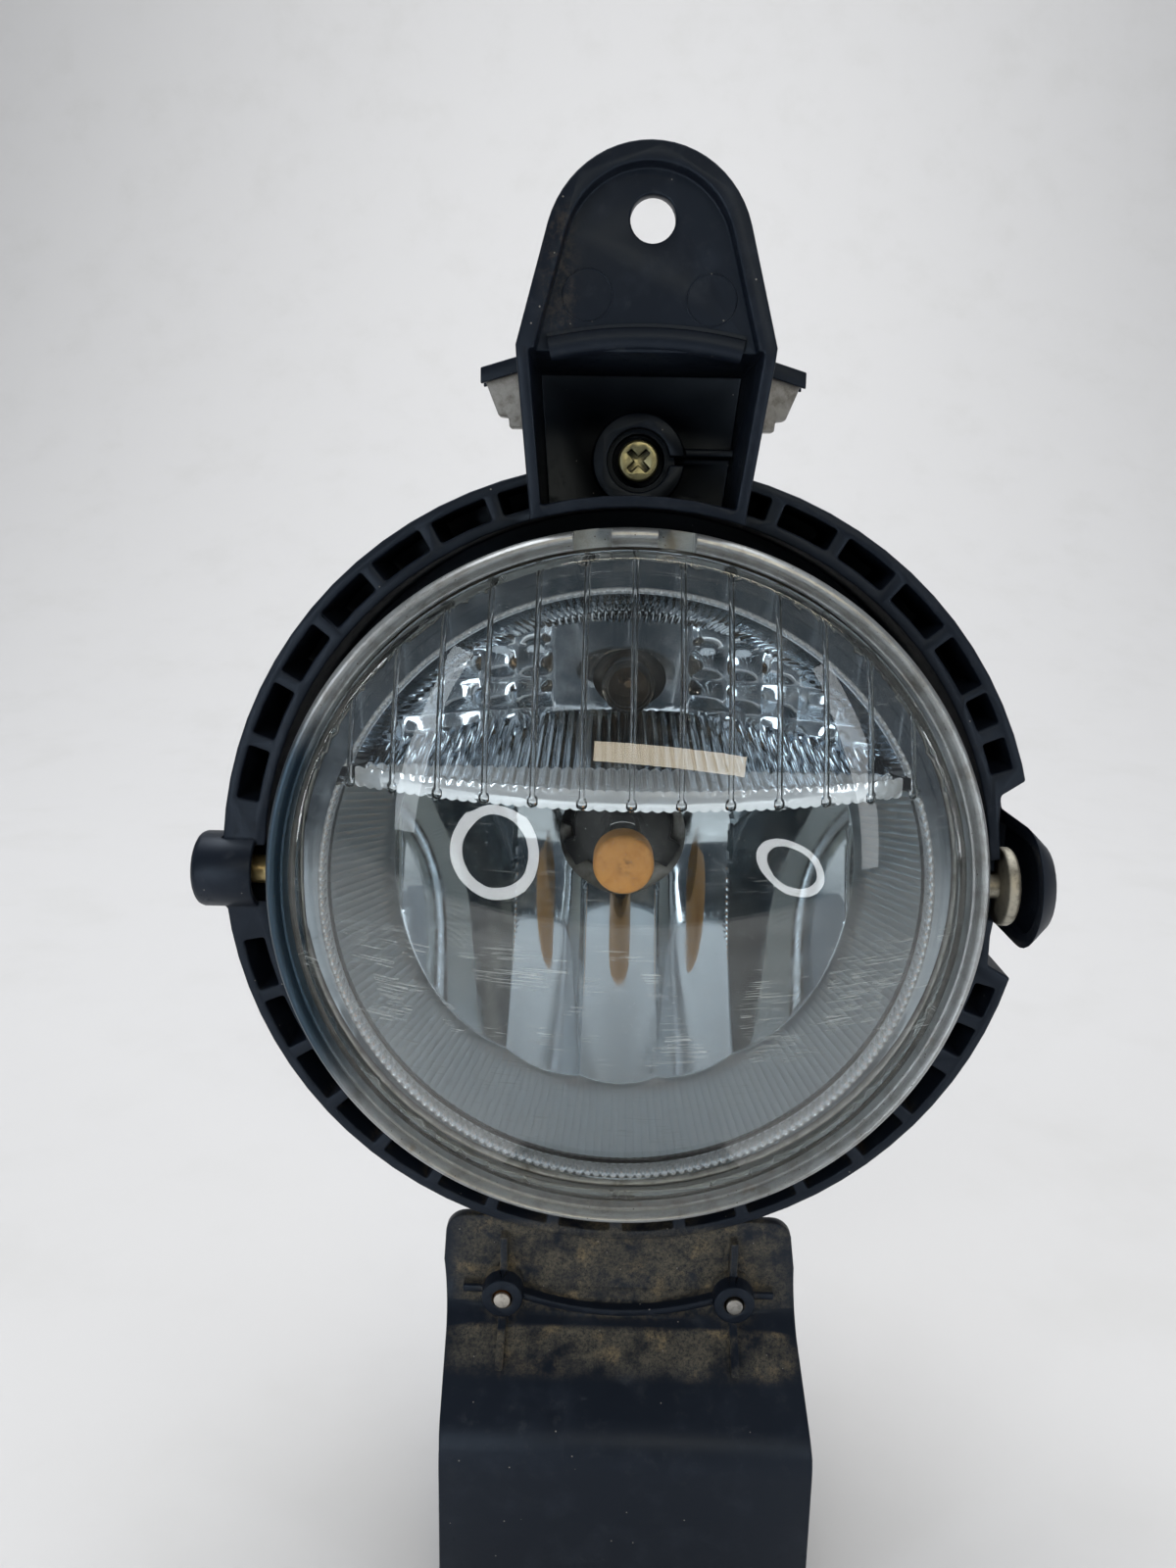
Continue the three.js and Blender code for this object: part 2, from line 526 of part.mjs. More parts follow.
function bar(reach, width, [y0, y1], degrees) {
  const geometry = new THREE.BoxGeometry(reach, y1 - y0, width);
  geometry.translate(reach / 2, (y0 + y1) / 2, 0).rotateY(-radians(degrees));
  return solid(geometry);
}

function bayonetHole({ hole, reach, width, angles, turn }, z, [y0, y1]) {
  const notches = angles.map((angle) => (
    bar(reach + 0.5, width + 0.8, [y0, y1], angle - turn).translate([0, 0, z])));
  return join(turned(rod(hole, y0, y1), 40, z), ...notches);
}

const bayonetLugs = ({ reach, width, angles }, span) => angles.map((angle) => bar(reach, width, span, angle));

const paraboloid = (radius) => REFLECTOR.vertex - (radius ** 2) / REFLECTOR.focalTerm;

function mainReflector() {
  const { hole, radius, outer, front, wall } = REFLECTOR;
  const rings = 4;
  const radii = Array.from({ length: rings + 1 }, (_, i) => hole + ((radius - hole) * i) / rings);
  const face = radii.map((r) => [r, paraboloid(r)]);
  const back = radii.map((r) => [r, paraboloid(r) + wall]).reverse();
  const rim = [[radius, front], [outer, front], [outer, paraboloid(outer) + wall]];
  const bowl = turned([...face, ...rim, ...back], 44, FOG_Z);
  const lower = cut(bowl, box([-FAR, FAR], [0, FAR], [DIVIDER.bottom - 0.4, FAR]));
  const flange = cut(
    turned(rod(HOUSING.lip - 0.4, front, front + 1.6), 52),
    turned(rod(radius, front - 1, front + 3), 44, FOG_Z),
  );
  return join(lower, flange);
}

function parkingReflector() {
  const { outer, inner, wall, front, back, floor, floorTop, slope, hole } = CHAMBER;
  // All that lies above a sloping plane whose height is known at the chamber's front edge.
  const above = (height) => {
    const planeAt = (y) => [y, height + slope * (y - front)];
    return pushedX(polygon([planeAt(0), planeAt(FAR), [FAR, 2 * FAR], [0, 2 * FAR]]), -FAR, FAR);
  };
  return cut(
    meet(turned(rod(outer, front, back), 48, FOG_Z), above(floor)),
    meet(turned(rod(inner, front - 1, back - wall), 48, FOG_Z), above(floorTop)),
    turned(rod(hole, back - wall - 1, back + 1), 32, PARKING_Z),
  );
}

// A level bar whose front edge follows the inside of the lens.
function dividerBar() {
  const { halfWidth, back, bottom, top, lensGap } = DIVIDER;
  const points = [[-halfWidth, back]];
  const count = 16;
  for (let i = 0; i <= count; i += 1) {
    const x = halfWidth * ((2 * i) / count - 1);
    points.push([x, lensInside(Math.hypot(x, top)) + lensGap]);
  }
  points.push([halfWidth, back]);
  return pushedZ(polygon(points), bottom, top);
}

// Two upright legs with a coil between them. The front leg is the longer one.
function filament({ coilFrom, coilTo, rear, legX }) {
  const wire = 0.4;
  const coil = turned(rod(0.7, coilFrom, coilTo), 12);
  const leg = (x, from) => turned(rod(wire, from, rear), 8, 0, x);
  const arm = (y, from, to) => turnedX(rod(wire, from, to), y, 0, 8);
  return join(
    coil,
    leg(legX, coilFrom),
    leg(-legX, coilTo - wire),
    arm(coilFrom + wire, 0, legX),
    arm(coilTo - wire, -legX, 0),
  );
}

// A tube with a closed nose, open at the rear.
function closedTube({ nose, rear, radius, wall, round }, segments) {
  const inner = radius - wall;
  const floor = nose + wall;
  return turned([
    [0, nose], [radius - round, nose], [radius, nose + round], [radius, rear],
    [inner, rear], [inner, floor + 0.6], [inner - 0.5, floor], [0, floor],
  ], segments);
}

function socket({ halfX, halfZ, front, floor, end, wall }) {
  return cut(
    box([-halfX, halfX], [front, end], [-halfZ, halfZ]),
    box([-halfX + wall, halfX - wall], [floor, end + 1], [-halfZ + wall, halfZ - wall]),
  );
}

// The turned part of a bulb's base: neck through the bayonet, flange outside it, stem to the socket.
const baseBody = ({ neckFront, flange, flangeFront, flangeRear, stem, stemRear }, neck, segments) => turned([
  [0, neckFront], [neck, neckFront], [neck, flangeFront], [flange, flangeFront],
  [flange, flangeRear], [stem, flangeRear], [stem, stemRear], [0, stemRear],
], segments);

const fogBase = () => join(
  baseBody(FOG_BULB, FOG_BAYONET.neck, 40),
  socket(FOG_BULB.socket),
  ...bayonetLugs(FOG_BAYONET, [FOG_BULB.neckFront, FOG_BULB.lugRear]),
);

const parkingHolder = () => join(
  baseBody(PARKING_BULB, PARKING_BAYONET.neck, 32),
  socket(PARKING_BULB.socket),
  ...bayonetLugs(PARKING_BAYONET, [PARKING_BULB.lugFront, PARKING_BULB.lugRear]),
);

const bulbSeal = ({ inner, outer, rear }, segments) => (
  turned(tube(inner, outer, HOUSING.rear + GAP, rear), segments));

const contact = ({ thickness, halfHeight, front, rear }) => (
  box([-thickness / 2, thickness / 2], [front, rear], [-halfHeight, halfHeight]));

function ventCap() {
  const { inner, outer, front, inside, rear } = VENT_CAP;
  const crown = [[0, rear], [outer - 0.5, rear], [outer, rear - 0.5]];
  return turned([...crown, [outer, front], [inner, front], [inner, inside], [0, inside]], 24);
}

function leftPin() {
  const { leftRadius, leftTip, root } = PIN;
  const profile = [
    [0, leftTip], [leftRadius - 0.4, leftTip], [leftRadius, leftTip + 0.5], [leftRadius, -root], [0, -root],
  ];
  return turnedX(profile, PIVOT.y, PIVOT.z);
}

// The right pin ends in a wide disc outside the fork.
function rightPin() {
  const { rightRadius, disc, discFrom, discTo, root } = PIN;
  const profile = [
    [0, root], [rightRadius, root], [rightRadius, discFrom], [disc - 0.3, discFrom], [disc, discFrom + 0.4],
    [disc, discTo - 0.5], [disc - 0.4, discTo], [0, discTo],
  ];
  return turnedX(profile, PIVOT.y, PIVOT.z);
}

// ---------- aiming ----------

// The roof line of the bridge, lowered by `drop` and shortened to `reach` of its length.
const roofLine = (drop, reach = 1) => ROOF.map(([x, z]) => [BRIDGE.x + x * reach, z - drop]);

// The bracket's plate has a wing to each side, and a slot that leaves the nut room as the lamp tilts.
function adjusterBridge() {
  const { x: middle, front, rear, underCap, roofReach, side, foot } = BRIDGE;
  const right = side.map(([x, z]) => [middle + x, z]);
  const left = side.map(([x, z]) => [middle - x, z]).reverse();
  const plate = pushedY(polygon([...roofLine(underCap, roofReach), ...right, ...left]), front, rear);
  const base = box([-foot.halfWidth, foot.halfWidth], [foot.front, foot.rear], [PAD.top + GAP, foot.top]);
  const window = box(
    [SCREW_X - SLOT.halfWidth, SCREW_X + SLOT.halfWidth],
    [front - 1, rear + 1],
    [SCREW_Z - SLOT.halfHeight, SCREW_Z + SLOT.halfHeight],
  );
  return cut(join(plate, base), window, ...bridgeScrewHoles());
}

function bridgeCap() {
  const { overhang, lip, top, depth } = CAP;
  const [front, rear] = [BRIDGE.front - overhang, BRIDGE.rear + overhang];
  const band = (from, to) => polygon([...roofLine(from), ...roofLine(to).reverse()]);
  return join(
    pushedY(band(0, top), front, rear),
    pushedY(band(top - 0.1, depth), front, front + lip),
    pushedY(band(top - 0.1, depth), rear - lip, rear),
  );
}

function bridgeScrew() {
  const { radius, head, end, top } = BRIDGE_SCREW;
  const seat = BRIDGE.foot.top + GAP;
  return turnedZ([
    [0, end], [radius, end], [radius, seat], [head, seat], [head, top - 0.8], [head - 0.6, top], [0, top],
  ], 0, 0);
}

function adjusterScrew() {
  const { front, head, headRear, shank, end, slotLength, slotWidth, slotDepth } = SCREW;
  const body = turned([
    [0, front], [head - 0.3, front], [head, front + 0.4], [head, headRear], [shank, headRear],
    [shank, end - 0.8], [shank - 0.6, end], [0, end],
  ], 32);
  const slots = [45, 135].map((angle) => {
    const geometry = new THREE.BoxGeometry(slotLength, 2 * slotDepth, slotWidth);
    return solid(geometry.translate(0, front, 0).rotateY(-radians(angle)));
  });
  return cut(body, ...slots);
}

function lockRing() {
  const { inner, outer, thickness } = LOCK_RING;
  return turned(tube(inner, outer, RECESS.rear + GAP, RECESS.rear + GAP + thickness), 24);
}

function adjusterNut() {
  const { front, grooveFront, grooveRear, rear, flange, waist: [waistX, waistZ] } = NUT;
  const square = [-flange, flange];
  return cut(
    join(
      box(square, [front, grooveFront], square),
      box([-waistX, waistX], [grooveFront - 0.1, grooveRear + 0.1], [-waistZ, waistZ]),
      box(square, [grooveRear, rear], square),
    ),
    turned(rod(SCREW.shank + GAP, front - 1, rear + 1), 32),
  );
}

// ---------- assembly ----------

const finish = (color, roughness, metalness = 0) => (
  new THREE.MeshStandardMaterial({ color, roughness, metalness }));

const FINISHES = {
  blackPlastic: () => finish(0x1c1f24, 0.62),
  castGrey: () => finish(0x8d8c86, 0.6, 0.8),
  chrome: () => finish(0xd7dade, 0.12, 1),
  clear: () => finish(0xe9f1f3, 0.05),
  rubber: () => finish(0x22221f, 0.85),
  orange: () => finish(0xc98a45, 0.7),
  zinc: () => finish(0xa39a63, 0.4, 0.9),
  brass: () => finish(0x9c8348, 0.4, 1),
  steel: () => finish(0x9a978f, 0.5, 0.9),
  nylon: () => finish(0xd8d6cb, 0.55),
  copper: () => finish(0xb9b4a2, 0.35, 1),
};

// A piece: its node's name, its finish, its solid and where it stands in its group.
function piece(name, finishName, body, [x, y, z] = [0, 0, 0]) {
  const mesh = new THREE.Mesh(geometryOf(body), FINISHES[finishName]());
  mesh.name = name;
  mesh.position.set(x, y, z);
  return mesh;
}

function group([x, y, z], ...members) {
  const made = new THREE.Group();
  made.position.set(x, y, z);
  made.add(...members);
  return made;
}

const carrier = group(
  [0, 0, 0],
  piece('carrier_frame', 'blackPlastic', carrierFrame()),
  piece('plate_insert_left', 'steel', plateInsert(), [plateBossX(-1), 0, PLATE_BOSS.z]),
  piece('plate_insert_right', 'steel', plateInsert(), [plateBossX(1), 0, PLATE_BOSS.z]),
);

const aiming = group(
  [SCREW_X, 0, SCREW_Z],
  piece('adjuster_screw', 'zinc', adjusterScrew()),
  piece('screw_lock_ring', 'steel', lockRing()),
  piece('adjuster_nut', 'nylon', adjusterNut()),
);

const fogBulb = group(
  [0, 0, FOG_Z],
  piece('fog_bulb_tip', 'orange', closedTube(FOG_BULB.tip, 28)),
  piece('fog_bulb_glass', 'clear', closedTube(FOG_BULB.glass, 24)),
  piece('fog_bulb_filament', 'steel', filament(FOG_BULB.filament)),
  piece('fog_bulb_base', 'blackPlastic', fogBase()),
  piece('fog_bulb_seal', 'rubber', bulbSeal(FOG_BULB.seal, 28)),
  piece('fog_contact_left', 'copper', contact(FOG_BULB.contact), [-FOG_BULB.contact.x, 0, 0]),
  piece('fog_contact_right', 'copper', contact(FOG_BULB.contact), [FOG_BULB.contact.x, 0, 0]),
);

const parkingBulb = group(
  [0, 0, PARKING_Z],
  piece('parking_bulb_glass', 'clear', closedTube(PARKING_BULB.glass, 24)),
  piece('parking_bulb_filament', 'steel', filament(PARKING_BULB.filament)),
  piece('parking_bulb_holder', 'blackPlastic', parkingHolder()),
  piece('parking_bulb_seal', 'rubber', bulbSeal(PARKING_BULB.seal, 24)),
  piece('parking_contact_left', 'copper', contact(PARKING_BULB.contact), [-PARKING_BULB.contact.x, 0, 0]),
  piece('parking_contact_right', 'copper', contact(PARKING_BULB.contact), [PARKING_BULB.contact.x, 0, 0]),
);

const lamp = group(
  [0, 0, 0],
  piece('lamp_housing', 'castGrey', lampHousing()),
  piece('bezel_ring', 'castGrey', bezelRing()),
  piece('lens', 'clear', lens()),
  piece('lens_seal', 'rubber', lensSeal()),
  piece('main_reflector', 'chrome', mainReflector()),
  piece('parking_reflector', 'chrome', parkingReflector()),
  piece('divider_bar', 'chrome', dividerBar()),
  piece('vent_cap', 'rubber', ventCap(), [VENT.x, 0, VENT.z]),
  piece('left_pivot_pin', 'brass', leftPin()),
  piece('right_pivot_pin', 'steel', rightPin()),
  piece('adjuster_bridge', 'castGrey', adjusterBridge()),
  piece('bridge_cap', 'blackPlastic', bridgeCap()),
  piece('bridge_screw_left', 'steel', bridgeScrew(), [-BRIDGE_SCREW.x, BRIDGE_SCREW.y, 0]),
  piece('bridge_screw_right', 'steel', bridgeScrew(), [BRIDGE_SCREW.x, BRIDGE_SCREW.y, 0]),
  fogBulb,
  parkingBulb,
);

// The origin lies on the tab's rear seat, straight above the lamp's axis and below the bolt hole.
const fogLight = group([0, -TAB.rear, -SEAT_Z], carrier, aiming, lamp);

export default fogLight;
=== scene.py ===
import math

import bmesh
import bpy
from mathutils import Matrix, Quaternion, Vector


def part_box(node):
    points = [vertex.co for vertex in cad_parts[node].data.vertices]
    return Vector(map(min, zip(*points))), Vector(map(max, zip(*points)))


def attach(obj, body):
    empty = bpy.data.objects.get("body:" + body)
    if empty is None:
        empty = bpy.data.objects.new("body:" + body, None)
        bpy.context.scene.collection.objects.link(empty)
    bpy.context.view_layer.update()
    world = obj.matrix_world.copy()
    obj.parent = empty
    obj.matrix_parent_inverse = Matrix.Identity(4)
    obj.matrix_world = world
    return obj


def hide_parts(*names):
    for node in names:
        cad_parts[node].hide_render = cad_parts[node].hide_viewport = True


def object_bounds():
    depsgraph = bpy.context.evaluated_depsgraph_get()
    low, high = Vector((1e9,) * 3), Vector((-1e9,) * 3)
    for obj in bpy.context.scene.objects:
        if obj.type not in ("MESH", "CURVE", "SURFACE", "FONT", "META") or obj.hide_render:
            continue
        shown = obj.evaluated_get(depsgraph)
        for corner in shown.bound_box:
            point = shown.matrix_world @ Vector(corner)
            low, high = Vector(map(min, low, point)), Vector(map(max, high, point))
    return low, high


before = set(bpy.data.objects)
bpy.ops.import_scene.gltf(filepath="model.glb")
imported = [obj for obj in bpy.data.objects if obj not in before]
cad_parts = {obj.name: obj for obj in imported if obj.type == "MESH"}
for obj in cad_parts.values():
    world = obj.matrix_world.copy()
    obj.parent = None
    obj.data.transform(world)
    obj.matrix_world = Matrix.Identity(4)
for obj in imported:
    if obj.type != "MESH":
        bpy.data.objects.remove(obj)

cad_low, cad_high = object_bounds()

# ---------- where the lamp is ----------
# Pieces are drawn in lamp millimetres: y runs back from the bezel plane along the lamp's axis.
MM = 0.001
BEZEL_FRONT = -3.0
bezel_low, bezel_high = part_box("bezel_ring")
LAMP = Vector((
    (bezel_low.x + bezel_high.x) / 2,
    bezel_low.y - BEZEL_FRONT * MM,
    (bezel_low.z + bezel_high.z) / 2,
))

FOG_Z = -2.5
PARKING_Z = 33.0
SCREW_X, SCREW_Z = 0.8, 74.3
LENS_RADIUS, LENS_APEX, DOME, INNER_DOME = 58.9, -21.0, 95.0, 92.0
DOME_Y = LENS_APEX + DOME
SMOOTH_RADIUS = 44.6  # the main reflector is smooth inside this radius and fluted outside it
RIB_PITCH = 1.9


def lamp(x, y, z):
    """The row-frame point, in metres, of a point in lamp millimetres."""
    return LAMP + Vector((x, y, z)) * MM


def lens_front(radius):
    """y of the lens's outer face at a radius."""
    return DOME_Y - math.sqrt(DOME ** 2 - radius ** 2)


def lens_inside(radius):
    """y of the lens's inner face at a radius, without its flutes."""
    return DOME_Y - math.sqrt(INNER_DOME ** 2 - radius ** 2)


def smoothstep(low, high, value):
    """Smooth 0 to 1 as value goes from low to high."""
    share = min(1.0, max(0.0, (value - low) / (high - low)))
    return share * share * (3 - 2 * share)


def spread(start, end, count):
    """count + 1 evenly spaced values."""
    return [start + (end - start) * i / count for i in range(count + 1)]


# ---------- mesh helpers ----------

def new_object(name, mesh):
    piece = bpy.data.objects.new(name, mesh)
    bpy.context.scene.collection.objects.link(piece)
    return piece


def from_points(name, points, faces):
    """A mesh object from points in lamp millimetres."""
    mesh = bpy.data.meshes.new(name)
    mesh.from_pydata([lamp(*p) for p in points], [], faces)
    mesh.validate()
    mesh.update()
    return new_object(name, mesh)


def grid_faces(rows, columns, around=False, closed=False):
    """Quads of a grid of points. around joins the last column to the first, closed the last row."""
    faces = []
    for i in range(rows if closed else rows - 1):
        for j in range(columns if around else columns - 1):
            a = i * columns + j
            b = i * columns + (j + 1) % columns
            c = ((i + 1) % rows) * columns + (j + 1) % columns
            d = ((i + 1) % rows) * columns + j
            faces.append((a, b, c, d))
    return faces


def turned(name, profile, segments, x=0.0, z=0.0):
    """A closed ring or rod: [radius, y] points turned about the Y axis through (x, z)."""
    points = []
    for radius, y in profile:
        for j in range(segments):
            angle = 2 * math.pi * j / segments
            points.append((x + radius * math.cos(angle), y, z + radius * math.sin(angle)))
    piece = from_points(name, points, grid_faces(len(profile), segments, around=True, closed=True))
    return outward(piece)


def outward(piece):
    """Faces point out, and points that meet are merged."""
    bm = bmesh.new()
    bm.from_mesh(piece.data)
    bmesh.ops.remove_doubles(bm, verts=bm.verts, dist=1e-7)
    bmesh.ops.recalc_face_normals(bm, faces=bm.faces)
    bm.to_mesh(piece.data)
    bm.free()
    return piece


def rounded(piece, degrees=30):
    """Smooth shading with sharp edges kept."""
    piece.data.polygons.foreach_set("use_smooth", [True] * len(piece.data.polygons))
    piece.data.set_sharp_from_angle(angle=math.radians(degrees))
    return piece


def applied(piece):
    """Makes the modifiers' result the piece's own mesh."""
    depsgraph = bpy.context.evaluated_depsgraph_get()
    mesh = bpy.data.meshes.new_from_object(piece.evaluated_get(depsgraph))
    piece.modifiers.clear()
    piece.data = mesh
    return piece


def boolean(piece, tool, operation):
    """Cuts or unites a piece with a tool, which is used up."""
    modifier = piece.modifiers.new("cut", "BOOLEAN")
    modifier.operation = operation
    modifier.solver = "EXACT"
    modifier.object = tool
    applied(piece)
    bpy.data.objects.remove(tool)
    return piece


def block(name, xs, ys, zs):
    """A box between two values on each axis."""
    corners = [(x, y, z) for x in xs for y in ys for z in zs]
    faces = [(0, 1, 3, 2), (4, 6, 7, 5), (0, 4, 5, 1), (2, 3, 7, 6), (0, 2, 6, 4), (1, 5, 7, 3)]
    return outward(from_points(name, corners, faces))


def joined(name, pieces):
    """Several objects as one mesh."""
    bm = bmesh.new()
    for piece in pieces:
        bm.from_mesh(piece.data)
    mesh = bpy.data.meshes.new(name)
    bm.to_mesh(mesh)
    bm.free()
    for piece in pieces:
        bpy.data.objects.remove(piece)
    return new_object(name, mesh)


def softened(piece, width):
    """Rounds a piece's edges over a width in millimetres."""
    modifier = piece.modifiers.new("edges", "BEVEL")
    modifier.width = width * MM
    modifier.segments = 2
    modifier.limit_method = "ANGLE"
    modifier.angle_limit = math.radians(32)
    modifier.use_clamp_overlap = False
    modifier.miter_outer = "MITER_ARC"
    modifier.harden_normals = False
    applied(piece)
    return rounded(piece, 40)


def refined(node, name, width):
    """A copy of a CAD node's mesh with its flat faces merged and its edges rounded."""
    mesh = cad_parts[node].data.copy()
    bm = bmesh.new()
    bm.from_mesh(mesh)
    bmesh.ops.remove_doubles(bm, verts=bm.verts, dist=2e-6)
    bmesh.ops.dissolve_limit(bm, angle_limit=math.radians(1.2), verts=bm.verts, edges=bm.edges)
    bm.to_mesh(mesh)
    bm.free()
    mesh.materials.clear()
    piece = new_object(name, mesh)
    return softened(piece, width) if width else rounded(piece)


def dress(piece, material, body, slot, *nodes):
    """Gives a piece its material and body and hides the CAD nodes it stands for. The slot is not used."""
    piece.data.materials.clear()
    piece.data.materials.append(material)
    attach(piece, body)
    if nodes:
        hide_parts(*nodes)
    return piece


# ---------- material helpers ----------

class Paint:
    """A Principled material and short ways to add procedural nodes to it. Sizes are in millimetres."""

    def __init__(self, name, color, roughness, metallic=0.0, **sockets):
        self.material = bpy.data.materials.new(name)
        self.material.use_nodes = True
        self.tree = self.material.node_tree
        self.shader = self.tree.nodes["Principled BSDF"]
        self.shader.inputs["Base Color"].default_value = (*color, 1)
        self.shader.inputs["Roughness"].default_value = roughness
        self.shader.inputs["Metallic"].default_value = metallic
        for socket, value in sockets.items():
            self.shader.inputs[socket.replace("_", " ")].default_value = value
        coordinates = self.tree.nodes.new("ShaderNodeTexCoord")
        self.position = coordinates.outputs["Object"]

    def node(self, kind, links=None, values=None, **settings):
        made = self.tree.nodes.new(kind)
        for key, value in settings.items():
            setattr(made, key, value)
        for key, value in (values or {}).items():
            made.inputs[key].default_value = value
        for key, source in (links or {}).items():
            self.tree.links.new(source, made.inputs[key])
        return made

    def link(self, source, socket):
        self.tree.links.new(source, self.shader.inputs[socket])

    def noise(self, size, detail=3.0, roughness=0.55, stretch=(1, 1, 1)):
        """Noise whose lumps are about size millimetres."""
        place = self.node("ShaderNodeMapping", {"Vector": self.position}, {"Scale": stretch})
        values = {"Scale": 1 / (size * MM), "Detail": detail, "Roughness": roughness}
        return self.node("ShaderNodeTexNoise", {"Vector": place.outputs[0]}, values).outputs["Fac"]

    def specks(self, pitch, size):
        """1 in small dots: one chance of a dot in each cell of pitch millimetres."""
        values = {"Scale": 1 / (pitch * MM), "Randomness": 1.0}
        cells = self.node("ShaderNodeTexVoronoi", {"Vector": self.position}, values)
        return self.ramp(cells.outputs["Distance"], size, size * 0.6)

    def ramp(self, source, low, high):
        """Smooth 0 to 1 as source goes from low to high."""
        values = {"From Min": low, "From Max": high}
        made = self.node("ShaderNodeMapRange", {"Value": source}, values, interpolation_type="SMOOTHSTEP")
        return made.outputs["Result"]

    def math(self, operation, a, b):
        links, values = {}, {}
        for key, value in ((0, a), (1, b)):
            if isinstance(value, (int, float)):
                values[key] = value
            else:
                links[key] = value
        clamped = operation != "MULTIPLY"
        made = self.node("ShaderNodeMath", links, values, operation=operation, use_clamp=clamped)
        return made.outputs[0]

    def color(self, share, over):
        """Lays the colour over the base colour, by share."""
        base = self.shader.inputs["Base Color"]
        made = self.node("ShaderNodeMix", data_type="RGBA")
        sockets = {s.identifier: s for s in made.inputs}
        self.tree.links.new(share, sockets["Factor_Float"])
        if base.is_linked:
            self.tree.links.new(base.links[0].from_socket, sockets["A_Color"])
        else:
            sockets["A_Color"].default_value = tuple(base.default_value)
        sockets["B_Color"].default_value = (*over, 1)
        result = next(s for s in made.outputs if s.identifier == "Result_Color")
        self.tree.links.new(result, base)

    def rough(self, share, low, high):
        made = self.node("ShaderNodeMapRange", {"Value": share}, {"To Min": low, "To Max": high})
        self.link(made.outputs["Result"], "Roughness")

    def scratches(self, length, pitch, low, tilt=0.0):
        """1 in fine level lines about length millimetres long, gathered in patches."""
        turn = self.node("ShaderNodeMapping", {"Vector": self.position}, {
            "Rotation": (0, math.radians(tilt), 0), "Scale": (1 / length, 1 / length, 1 / pitch)})
        values = {"Scale": 1 / MM, "Detail": 1.0}
        lines = self.node("ShaderNodeTexNoise", {"Vector": turn.outputs[0]}, values).outputs["Fac"]
        fine = self.ramp(lines, low, low + 0.03)
        return self.math("MULTIPLY", fine, self.ramp(self.noise(9, 2), 0.5, 0.6))

    def ring(self, radius, soft):
        """0 inside a radius about the main reflector's axis and 1 outside it, in millimetres."""
        flat = self.node("ShaderNodeVectorMath", {0: self.position}, operation="MULTIPLY")
        flat.inputs[1].default_value = (1, 0, 1)
        centre = lamp(0, 0, FOG_Z)
        away = self.node("ShaderNodeVectorMath", {0: flat.outputs[0]}, operation="DISTANCE")
        away.inputs[1].default_value = (centre.x, 0, centre.z)
        return self.ramp(away.outputs["Value"], (radius - soft) * MM, radius * MM)

    def bump(self, source, height, strength=1.0):
        """Bump whose full height is in millimetres."""
        normal = self.shader.inputs["Normal"]
        links = {"Height": source}
        if normal.is_linked:
            links["Normal"] = normal.links[0].from_socket
        made = self.node("ShaderNodeBump", links, {"Strength": strength, "Distance": height * MM})
        self.tree.links.new(made.outputs["Normal"], normal)

    def corners(self, reach, low=0.35, high=0.9):
        """1 deep in a corner, 0 in the open, within reach millimetres."""
        made = self.node("ShaderNodeAmbientOcclusion", values={"Distance": reach * MM}, samples=6)
        return self.ramp(made.outputs["AO"], high, low)

    def band(self, axis, low, high, soft):
        """1 between low and high lamp millimetres along an axis, fading over soft millimetres."""
        split = self.node("ShaderNodeSeparateXYZ", {"Vector": self.position}).outputs[axis]
        origin = "XYZ".index(axis)
        start, end = LAMP[origin] + low * MM, LAMP[origin] + high * MM
        rise = self.ramp(split, start, start + soft * MM)
        fall = self.ramp(split, end, end - soft * MM)
        return self.math("MULTIPLY", rise, fall)


